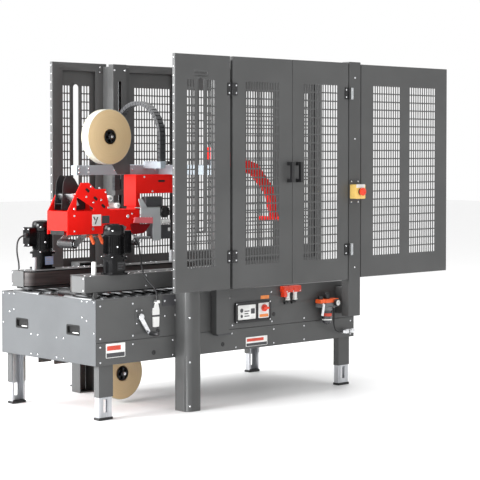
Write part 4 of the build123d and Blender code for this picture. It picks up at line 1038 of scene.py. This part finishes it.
def head_plates():
    """The red taping head: CAD plates plus slots, screws and an end notch."""
    dress("upper_head_frame", RED, 0.003, 3)
    dress("head_arm", RED, 0.002)
    dress("flap_kicker", RED, 0.004, 3)
    dress("head_crossbar", BEAM, 0.003, 3)
    dress("roll_bracket", STRUCTURE, 0.0015)
    slots = Shape()
    for side in SIDES.values():
        face = side * 0.096
        low, high = sorted((face - side * 0.001, face + side * 0.0006))
        for x, z in ((0.203, 1.195), (0.258, 1.150), (0.312, 1.107)):
            verts = slots.plate("xz", rounded([(x - 0.014, z - 0.007), (x + 0.014, z - 0.007), (x + 0.014, z + 0.007),
                                               (x - 0.014, z + 0.007)], 0.007, 5), low, high)
            slots.turn(verts, 38, "y", (x, face, z))
        low, high = sorted((side * 0.052 - side * 0.001, side * 0.0526))
        slots.plate("xz", rectangle(0.742, 0.792, 1.232, 1.244, 0.006, 4), low, high)
    # The slots are flat black patches on the plates: painted shade.
    slots.piece("head_slots", "head_carriage", "black_plastic", PAINTED_HOLE_SHADE)
    spots = []
    for side in SIDES.values():
        for x, z in ((0.225, 1.214), (0.195, 1.160), (0.285, 1.205), (0.327, 1.182), (0.243, 1.128), (0.296, 1.140),
                     (0.112, 1.096), (0.345, 1.098)):
            spots.append(((x, side * 0.096, z), (0, side, 0)))
        for x, z in ((0.118, 1.058), (0.118, 0.975), (0.518, 1.060)):
            spots.append(((x, side * 0.090, z), (0, side, 0)))
        spots.append(((0.640, side * 0.052, 1.262), (0, side, 0)))
        spots.append(((0.700, side * 0.052, 1.180), (0, side, 0)))
    screws("head_screws", "head_carriage", spots, 0.0060)
    screws("head_pivot_heads", "head_carriage", [((0.487, side * 0.090, 1.046), (0, side, 0)) for side in SIDES.values()], 0.011)
    beam_spots = [((x, 0.042, z), (0, -1, 0)) for x in (0.252, 0.318) for z in (1.290, 1.312)]
    beam_spots += [((x, 0.042, 1.302), (0, -1, 0)) for x in (0.50, 0.63, 0.80)]
    screws("beam_screws", "head_carriage", beam_spots, 0.0065)
    # The notch in the end face is a flat black sheet: painted shade.
    notch = Shape()
    notch.block(0.0692, 0.071, -0.060, 0.060, 0.956, 0.979)
    notch.piece("head_end_notch", "head_carriage", "black_plastic", PAINTED_HOLE_SHADE)


def head_sticker():
    """Plain sticker on the head's near plate: white square beside a dark block."""
    y = -0.090
    white = Shape()
    white.plate("xz", rectangle(0.238, 0.300, 1.000, 1.062, 0.004), y - 0.0008, y)
    white.piece("head_sticker_white", "head_carriage", "head_red", LABEL_WHITE)
    mark = Shape()
    bar = mark.block(0.264, 0.271, y - 0.0014, y, 1.008, 1.050)
    mark.turn(bar, 25, "y", (0.2675, y, 1.03))
    bar = mark.block(0.250, 0.257, y - 0.0014, y, 1.030, 1.052)
    mark.turn(bar, -30, "y", (0.2535, y, 1.041))
    mark.block(0.306, 0.358, y - 0.0010, y, 1.012, 1.054)
    mark.piece("head_sticker_marks", "head_carriage", "head_red", LABEL_DARK)


def head_rollers():
    """White guide rollers, black tape rollers, springs and links around the head."""
    rollers = Shape()
    for x, z, y0, y1, radius in ((0.370, 1.147, -0.085, 0.085, 0.017), (0.405, 1.108, -0.110, 0.060, 0.015)):
        profile = ((0.006, 0), (radius - 0.002, 0), (radius, 0.002), (radius, y1 - y0 - 0.002), (radius - 0.002, y1 - y0), (0.006, y1 - y0))
        rollers.lathe((x, y0, z), (0, 1, 0), profile, 32)
    rollers.lathe((0.165, -0.075, 1.165), (0, 1, 0), ((0.005, 0), (0.012, 0.001), (0.012, 0.149), (0.005, 0.150)), 24)
    rollers.piece("guide_rollers", "head_carriage", "zinc", WHITE)
    pins = Shape()
    pins.rod((0.370, -0.0895, 1.147), (0.370, 0.0895, 1.147), 0.006, 16)
    pins.rod((0.405, -0.116, 1.108), (0.405, 0.084, 1.108), 0.006, 16)
    pins.piece("guide_roller_pins", "head_carriage", "steel", STEEL)
    for end, x, z in (("exit", 0.140, 0.905), ("infeed", 0.575, 0.905)):
        sleeve = Shape()
        sleeve.lathe((x, -0.0645, z), (0, 1, 0), ((0.0235, 0), (0.0256, 0.002), (0.0256, 0.127), (0.0235, 0.129)), 40)
        sleeve.piece(f"upper_roller_sleeve_{end}", f"upper_arm_{end}", "black_plastic", PLASTIC)
    for end, x, z in (("exit", 0.145, 0.636), ("infeed", 0.570, 0.636)):
        sleeve = Shape()
        sleeve.lathe((x, -0.0645, z), (0, 1, 0), ((0.0235, 0), (0.0256, 0.002), (0.0256, 0.127), (0.0235, 0.129)), 40)
        sleeve.piece(f"lower_roller_sleeve_{end}", f"lower_arm_{end}", "black_plastic", PLASTIC)


def coil_spring(name, body, start, end, radius, wire, turns, material):
    """Tension spring between two points, as a tube along a helix with a hook at each end."""
    start, end = Vector((EXIT + start[0], *start[1:])), Vector((EXIT + end[0], *end[1:]))
    axis = end - start
    turn = axis.to_track_quat("Z", "Y").to_matrix()
    curve = bpy.data.curves.new(name, "CURVE")
    curve.dimensions = "3D"
    spline = curve.splines.new("POLY")
    steps = turns * 14
    points = [start]
    for i in range(steps + 1):
        t = 0.12 + 0.76 * i / steps
        angle = 2 * math.pi * turns * i / steps
        local = Vector((radius * math.cos(angle), radius * math.sin(angle), axis.length * t))
        points.append(start + turn @ local)
    points.append(end)
    spline.points.add(len(points) - 1)
    for point, place in zip(spline.points, points):
        point.co = (*place, 1)
    curve.bevel_depth = wire
    curve.bevel_resolution = 2
    obj = bpy.data.objects.new(name, curve)
    bpy.context.scene.collection.objects.link(obj)
    obj.data.materials.append(material)
    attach(obj, body)
    return obj


def head_inside():
    """Black guide sheets, braces, knife box, orange springs and rails inside the upper head."""
    guide = Shape()
    for y in (0.0, 0.062):
        outline = [(0.098, 1.086), (0.112, 1.240), (0.135, 1.278), (0.185, 1.262), (0.262, 1.150), (0.262, 1.086)]
        guide.plate("xz", rounded(outline, 0.012), y, y + 0.002)
    guide.block(0.105, 0.240, 0.0, 0.064, 1.120, 1.122)
    guide.piece("tape_guide_sheets", "head_carriage", "black_plastic", PLASTIC)
    braces = Shape()
    verts = braces.block(0.132, 0.142, -0.080, 0.080, 1.110, 1.180)
    braces.turn(verts, -28, "y", (0.137, 0, 1.145))
    braces.block(0.100, 0.540, -0.028, 0.028, 0.990, 0.996)
    braces.rod((0.350, -0.084, 0.972), (0.350, 0.084, 0.972), 0.009, 20)
    braces.rod((0.120, -0.084, 1.040), (0.120, 0.084, 1.040), 0.008, 20)
    braces.piece("head_braces", "head_carriage", "steel", STEEL, bevel=0.001)
    knife = Shape()
    knife.block(0.330, 0.385, -0.060, 0.060, 0.925, 0.975)
    knife.piece("knife_guard", "head_carriage", "head_red", PLASTIC, bevel=0.002)
    for name, x in (("exit", 0.226), ("infeed", 0.288)):
        coil_spring(f"head_spring_{name}", "head_carriage", (x, -0.0855, 0.955), (x + 0.030, -0.0855, 0.898), 0.0075, 0.0026, 10, ORANGE)
    rails = Shape()
    for y in (-0.070, 0.070):
        rails.block(0.200, 0.540, y - 0.003, y + 0.003, 0.938, 0.946)
    rails.rod((0.517, -0.100, 0.927), (0.640, -0.100, 0.924), 0.008, 16, 0.002)
    rails.rod((0.571, -0.100, 0.901), (0.571, -0.100, 0.950), 0.007, 16, 0.002)
    rails.piece("hold_down_rails", "head_carriage", "steel", STEEL, bevel=0.001)


def hangers():
    """Light hanger plates, dark boxes, clamp knob, small cylinder and red guard behind the taping head; the guard's lip
    is a pink painted highlight and its lower plate a dark red painted shade.
    """
    plates = Shape()
    plates.plate("xz", rounded([(0.660, 0.905), (0.718, 0.905), (0.718, 1.044), (0.660, 1.044)], 0.004), -0.104, -0.100)
    plates.plate("xz", rounded([(0.578, 1.038), (0.717, 1.038), (0.717, 1.091), (0.578, 1.091)], 0.004), -0.098, -0.094)
    plates.block(0.578, 0.717, -0.098, -0.041, 1.0885, 1.0920)
    plates.plate("xz", rounded([(0.562, 1.141), (0.590, 1.141), (0.626, 1.092), (0.580, 1.092)], 0.004), -0.094, -0.090)
    plates.piece("hanger_plates", "head_carriage", "beam_grey", HANGER, bevel=0.0015)
    box = Shape()
    box.block(0.632, 0.752, -0.075, -0.041, 1.095, 1.152)
    box.block(0.723, 0.800, -0.098, -0.060, 0.912, 0.992)
    box.block(0.655, 0.700, -0.0995, -0.060, 0.920, 1.030)
    box.piece("head_dark_box", "head_carriage", "black_plastic", LABEL_DARK, bevel=0.004, segments=3)
    knob = Shape()
    profile = ((0.014, 0), (0.030, 0.004), (0.032, 0.010), (0.032, 0.030), (0.029, 0.036), (0.018, 0.038), (0, 0.038))
    knob.lathe((0.752, -0.070, 1.066), (0, -1, 0), profile, 36)
    for i in range(10):
        rib = knob.block(0.752 + 0.030, 0.752 + 0.0345, -0.104, -0.076, 1.0625, 1.0695)
        knob.turn(rib, 36 * i, "y", (0.752, 0, 1.066))
    knob.piece("head_clamp_knob", "head_carriage", "black_plastic", GLOSS_BLACK, bevel=0.001)
    tube = Shape()
    tube.lathe((0.729, -0.094, 1.010), (1, 0, 0), ((0.006, 0), (0.014, 0.001), (0.014, 0.056), (0.006, 0.057)), 24)
    tube.block(0.775, 0.790, -0.1005, -0.097, 0.955, 0.975)
    tube.piece("head_cylinder", "head_carriage", "zinc", WHITE)
    # Guard lip in the paler pink copy of the head red: painted highlight.
    pink = Shape()
    pink.plate("xz", rounded([(0.517, 1.010), (0.655, 1.002), (0.655, 1.036), (0.528, 1.040)], 0.004), -0.108, -0.100)
    pink.block(0.525, 0.655, -0.104, -0.091, 1.032, 1.036)
    pink.piece("head_guard_lip", "head_carriage", "head_red", LIT_RED, bevel=0.002)
    # Lower guard plate in the darker copy of the head red: painted shade under the lip.
    dark = Shape()
    dark.plate("xz", rounded([(0.500, 1.006), (0.650, 1.000), (0.600, 0.950), (0.520, 0.945)], 0.012), -0.098, -0.091)
    dark.piece("head_red_guard", "head_carriage", "head_red", SHADED_RED, bevel=0.002)


def column_blocks():
    """Screws of the sliding blocks on the guide rods, and of the crossbar."""
    spots = []
    for side in SIDES.values():
        for x in (0.834, 0.876):
            for z in (1.252, 1.350):
                spots.append(((x, side * 0.433, z), (0, -side, 0)))
    for x in (0.90, 1.00, 1.15):
        spots.append(((x, -0.030, 1.302), (0, -1, 0)))
    screws("carriage_screws", "head_carriage", spots, 0.006)


energy_chain()
head_plates()
head_sticker()
head_rollers()
head_inside()
hangers()
column_blocks()


# ---------------------------------------------------------------- controls
def control_panel():
    """Recessed panel with a pictogram plate, a main switch and a small sticker."""
    dress("control_panel", PLASTIC, 0.003, 3)
    dress("main_switch_knob", RED_PLASTIC, 0.002, 3)
    face = -BED_HALF - 0.004
    plate = Shape()
    plate.plate("xz", rectangle(1.012, 1.150, 0.456, 0.538, 0.005), face - 0.002, face)
    plate.piece("pictogram_plate", "frame", "black_plastic", LABEL_WHITE, bevel=0.0005)
    marks = Shape()
    marks.plate("xz", rectangle(1.112, 1.142, 0.486, 0.516, 0.003), face - 0.003, face)
    marks.plate("xz", circle(1.040, 0.508, 0.012, 20), face - 0.0026, face)
    marks.plate("xz", circle(1.040, 0.476, 0.009, 20), face - 0.0026, face)
    marks.block(1.062, 1.100, face - 0.0026, face, 0.500, 0.506)
    marks.block(1.062, 1.092, face - 0.0026, face, 0.486, 0.492)
    marks.block(1.062, 1.100, face - 0.0026, face, 0.472, 0.478)
    marks.piece("pictogram_marks", "frame", "black_plastic", LABEL_DARK)
    backing = Shape()
    backing.plate("xz", rectangle(1.172, 1.256, 0.456, 0.545, 0.006), face - 0.003, face, [circle(1.214, 0.513, 0.014, 24)])
    backing.piece("switch_plate", "frame", "yellow_plastic", LABEL_WHITE, bevel=0.0008)
    ring = Shape()
    ring.plate("xz", rectangle(1.180, 1.248, 0.462, 0.478, 0.003), face - 0.0045, face)
    ring.piece("switch_plate_strip", "frame", "black_plastic", LABEL_ORANGE)
    sticker = Shape()
    sticker.plate("xz", rectangle(1.195, 1.262, 0.563, 0.583, 0.003), -BED_HALF - 0.0006, -BED_HALF)
    sticker.piece("panel_sticker", "frame", "panel_grey", LABEL_ORANGE)
    spots = [((x, -BED_HALF - 0.012, z), (0, -1, 0)) for x in (0.996, 1.260) for z in (0.446, 0.547)]
    screws("panel_screws", "frame", spots, 0.0045)


def estops():
    """Emergency stops: yellow box, red mushroom, white tag, collar and bracket on both sides."""
    dress("estop_boxes", YELLOW, 0.002, 3)
    collar, tag, bracket = Shape(), Shape(), Shape()
    spots = []
    for side_name, side in SIDES.items():
        dress(f"estop_button_{side_name}", RED_PLASTIC, 0.001)
        face = side * (GUARD_OUT + 0.050)
        collar.lathe((1.841, face, 1.169), (0, side, 0), ((0.020, -0.002), (0.020, 0.004), (0.017, 0.0065), (0.0115, 0.0065)), 32)
        low, high = sorted((face, face + side * 0.0008))
        tag.plate("xz", rectangle(1.804, 1.878, 1.192, 1.212, 0.003), low, high)
        low, high = sorted((side * (GUARD_OUT - 0.001), side * (GUARD_OUT + 0.004)))
        bracket.plate("xz", rounded([(1.797, 1.095), (1.885, 1.095), (1.885, 1.240), (1.797, 1.240)], 0.008), low, high)
        spots += [((x, side * (GUARD_OUT + 0.004), z), (0, side, 0)) for x in (1.812, 1.870) for z in (1.108, 1.228)]
    collar.piece("estop_collars", "frame", "black_plastic", PLASTIC)
    tag.piece("estop_tags", "frame", "yellow_plastic", LABEL_WHITE)
    bracket.piece("estop_brackets", "frame", "structure_grey", LABEL_DARK, bevel=0.001)
    screws("estop_screws", "frame", spots, 0.005)


def hand_crank():
    """Hub, arm and black grip of the width crank; the grip has a domed end."""
    shape = Shape()
    x, z, y = 0.290, 0.528, -BED_HALF
    shape.lathe((x, y - 0.006, z), (0, -1, 0), ((0.0165, 0), (0.0175, 0.002), (0.0175, 0.020), (0.015, 0.023), (0.006, 0.0235), (0, 0.0235)), 32)
    bar = [(-0.013, 0.0), (-0.010, -0.111), (0.010, -0.111), (0.013, 0.0)]
    verts = shape.plate("xz", [(x + a, z + b) for a, b in rounded(bar, 0.010, 5)], y - 0.018, y - 0.010)
    shape.turn(verts, -34, "y", (x, y, z))
    end_x, end_z = x + 0.0615, z - 0.0915
    shape.rod((end_x, y - 0.008, end_z), (end_x, y - 0.026, end_z), 0.010, 24, 0.001)
    shape.piece("crank_arm", "crank", "steel", SCREW_STEEL, ("hand_crank",), bevel=0.0012)
    grip = Shape()
    profile = ((0.008, 0), (0.012, 0.003), (0.0135, 0.020), (0.0130, 0.045), (0.011, 0.062), (0.007, 0.068), (0, 0.070))
    grip.lathe((end_x, y - 0.024, end_z), (0, -1, 0), profile, 32)
    grip.piece("crank_grip", "crank", "black_plastic", PLASTIC)
    spots = [((x + a * 0.018, y - 0.005, z - 0.001 + b * 0.034), (0, -1, 0)) for a in (-1, 1) for b in (-1, 1)]
    screws("crank_plate_screws", "frame", spots, 0.0045)


def valve_manifold():
    """Red valve block with solenoids, two white cylinders and black elbows."""
    y = -BED_HALF - 0.018
    block = Shape()
    block.block(1.350, 1.490, y - 0.018, y + 0.018, 0.592, 0.628)
    block.block(1.352, 1.376, y - 0.016, y + 0.014, 0.566, 0.594)
    for x in (1.395, 1.455):
        block.block(x - 0.016, x + 0.016, y - 0.0175, y + 0.017, 0.600, 0.6275)
    block.piece("manifold_block", "frame", "red_plastic", RED_PLASTIC, ("valve_manifold",), bevel=0.002, segments=3)
    cups = Shape()
    for x in (1.395, 1.455):
        cups.lathe((x, y, 0.592), (0, 0, -1), ((0.0155, 0), (0.0155, 0.004), (0.0125, 0.006), (0.0125, 0.036), (0.0145, 0.038), (0.0145, 0.046), (0.009, 0.047), (0, 0.047)), 28)
    cups.piece("manifold_cylinders", "frame", "zinc", WHITE)
    elbows = Shape()
    for x in (1.395, 1.455):
        elbows.lathe((x, y, 0.546), (0, 0, -1), ((0.009, 0), (0.009, 0.014), (0.007, 0.016), (0, 0.016)), 20)
        elbows.rod((x, y, 0.538), (x - 0.024, y, 0.532), 0.006, 16, 0.001)
        elbows.rod((x - 0.022, y, 0.5325), (x - 0.028, y, 0.5310), 0.0085, 16, 0.001)
    elbows.piece("manifold_elbows", "frame", "black_plastic", PLASTIC)
    screws("manifold_screws", "frame", [((x, y - 0.018, 0.598), (0, -1, 0)) for x in (1.372, 1.425, 1.480)], 0.004)


def service_unit():
    """Filter, regulator and valve bodies with a gauge, knobs, a shut-off lever and a bowl."""
    x, y = 1.700, SERVICE_Y
    bodies = Shape()
    for x0, x1 in ((1.628, 1.664), (1.668, 1.732), (1.736, 1.776)):
        bodies.block(x0, x1, y - 0.023, y + 0.023, 0.488, 0.508)
        bodies.block(x0 + 0.003, x1 - 0.003, y - 0.021, y + 0.021, 0.506, 0.516)
    bodies.block(x - 0.018, x + 0.018, y + 0.010, -BED_HALF, 0.500, 0.530)
    bodies.lathe((x, y, 0.490), (0, 0, -1), ((0.031, 0), (0.0325, 0.003), (0.0325, 0.018), (0.030, 0.022)), 40)
    bodies.block(1.880, 1.892, y - 0.014, -BED_HALF, 0.320, 0.340)
    bodies.piece("service_bodies", "frame", "service_grey", SERVICE, ("air_service_unit",), bevel=0.002, segments=3)
    caps = Shape()
    for x0, x1 in ((1.626, 1.665), (1.667, 1.733), (1.735, 1.778)):
        caps.block(x0, x1, y - 0.024, y + 0.024, 0.513, 0.536)
    caps.piece("service_caps", "frame", "red_plastic", ORANGE, bevel=0.003, segments=3)
    bowl = Shape()
    bowl.lathe((x, y, 0.470), (0, 0, -1), ((0.027, 0), (0.0285, 0.004), (0.0285, 0.062), (0.0245, 0.074), (0.014, 0.081), (0.006, 0.083), (0.006, 0.086), (0, 0.086)), 40)
    bowl.piece("service_bowl", "frame", "service_grey", BOWL)
    ring = Shape()
    ring.lathe((x, y, 0.418), (0, 0, -1), ((0.0290, 0), (0.0296, 0.001), (0.0296, 0.006), (0.0290, 0.007)), 40)
    ring.piece("service_bowl_ring", "frame", "zinc", LABEL_WHITE)
    band = Shape()
    band.lathe((x, y, 0.452), (0, 0, -1), ((0.0288, 0), (0.0291, 0.001), (0.0291, 0.016), (0.0288, 0.017)), 40)
    band.piece("service_bowl_band", "frame", "red_plastic", LABEL_RED)
    gauge = Shape()
    gauge.lathe((x + 0.052, y - 0.022, 0.512), (0, -1, 0), ((0.014, 0), (0.0205, 0.004), (0.0205, 0.021), (0.0190, 0.0225), (0.0175, 0.0225), (0.0170, 0.0205), (0, 0.0205)), 40)
    gauge.piece("gauge_case", "frame", "black_plastic", PLASTIC)
    dial = Shape()
    dial.lathe((x + 0.052, y - 0.0428, 0.512), (0, -1, 0), ((0.0168, 0), (0.0168, 0.0004), (0, 0.0004)), 40)
    dial.piece("gauge_dial", "frame", "zinc", LABEL_WHITE)
    needle = Shape()
    bar = needle.block(x + 0.0515, x + 0.0525, y - 0.0438, y - 0.0430, 0.508, 0.525)
    needle.turn(bar, 40, "y", (x + 0.052, y, 0.512))
    for i in range(9):
        mark = needle.block(x + 0.0517, x + 0.0523, y - 0.0436, y - 0.0430, 0.5245, 0.5275)
        needle.turn(mark, -120 + 30 * i, "y", (x + 0.052, y, 0.512))
    needle.piece("gauge_needle", "frame", "black_plastic", LABEL_DARK)
    knob = Shape()
    knob.lathe((x, y, 0.538), (0, 0, 1), ((0.017, 0), (0.019, 0.002), (0.019, 0.027), (0.0165, 0.033), (0.010, 0.034), (0, 0.034)), 28)
    for i in range(14):
        rib = knob.block(x + 0.0182, x + 0.0198, y - 0.0012, y + 0.0012, 0.542, 0.564)
        knob.turn(rib, 360 / 14 * i, "z", (x, y, 0))
    knob.piece("regulator_cap", "regulator", "black_plastic", PLASTIC, ("regulator_knob",), bevel=0.0006)
    second = Shape()
    second.lathe((1.646, y, 0.536), (0, 0, 1), ((0.014, 0), (0.015, 0.002), (0.015, 0.016), (0.012, 0.020), (0, 0.020)), 24)
    second.piece("shutoff_cap", "frame", "black_plastic", PLASTIC)
    lever = Shape()
    lever.lathe((1.642, y - 0.023, 0.505), (0, -1, 0), ((0.010, 0), (0.010, 0.006), (0.006, 0.008), (0, 0.008)), 20)
    verts = lever.block(1.632, 1.652, y - 0.033, y - 0.029, 0.440, 0.510)
    lever.turn(verts, 12, "y", (1.642, y, 0.505))
    lever.piece("shutoff_lever", "frame", "steel", SCREW_STEEL, bevel=0.0015)
    coupling = Shape()
    coupling.lathe((1.835, y, 0.330), (1, 0, 0), ((0.008, 0), (0.010, 0.002), (0.010, 0.018), (0.0135, 0.021), (0.0135, 0.060), (0.0115, 0.062), (0.0115, 0.070), (0.0135, 0.072), (0.0135, 0.096), (0.009, 0.105), (0.005, 0.105)), 28)
    coupling.piece("air_coupling", "frame", "steel", SCREW_STEEL)
    hose_end = Shape()
    hose_end.lathe((1.762, y, 0.492), (0, 0, -1), ((0.0085, 0), (0.0085, 0.010), (0.0065, 0.013), (0.0045, 0.013)), 6)
    hose_end.piece("air_hose_fitting", "frame", "steel", SCREW_STEEL, angle=50)


control_panel()
estops()
hand_crank()
valve_manifold()
service_unit()


# ---------------------------------------------------------------- stage and light
def stage():
    bpy.ops.mesh.primitive_plane_add(size=60, location=(0, 0, -0.0005))
    floor = bpy.context.object
    floor.name = "floor"
    material, tree, shader = new_material("floor_white", (0.90, 0.90, 0.90), 0.55)
    floor.data.materials.append(material)


def area_light(name, place, target, size, power, colour=(1, 1, 1)):
    light = bpy.data.lights.new(name, "AREA")
    light.shape = "RECTANGLE"
    light.size, light.size_y = size
    light.energy = power
    light.color = colour
    obj = bpy.data.objects.new(name, light)
    obj.location = place
    obj.rotation_euler = (Vector(target) - Vector(place)).to_track_quat("-Z", "Y").to_euler()
    bpy.context.scene.collection.objects.link(obj)


def studio():
    world = bpy.data.worlds.new("studio")
    bpy.context.scene.world = world
    world.use_nodes = True
    background = world.node_tree.nodes["Background"]
    background.inputs["Color"].default_value = (1, 1, 1, 1)
    background.inputs["Strength"].default_value = 1.0
    area_light("key", (-7.6, 0.4, 2.4), (-0.8, 0, 0.9), (3.0, 3.0), 900, (0.98, 0.99, 1.0))
    area_light("back_left", (-6.0, 4.6, 3.4), (-0.8, 0, 0.9), (4.0, 4.0), 420)
    area_light("top", (0.5, 1.5, 6.0), (0.0, 0, 0.0), (6.0, 5.0), 260)
    bpy.context.scene.view_settings.view_transform = "Standard"


stage()
studio()
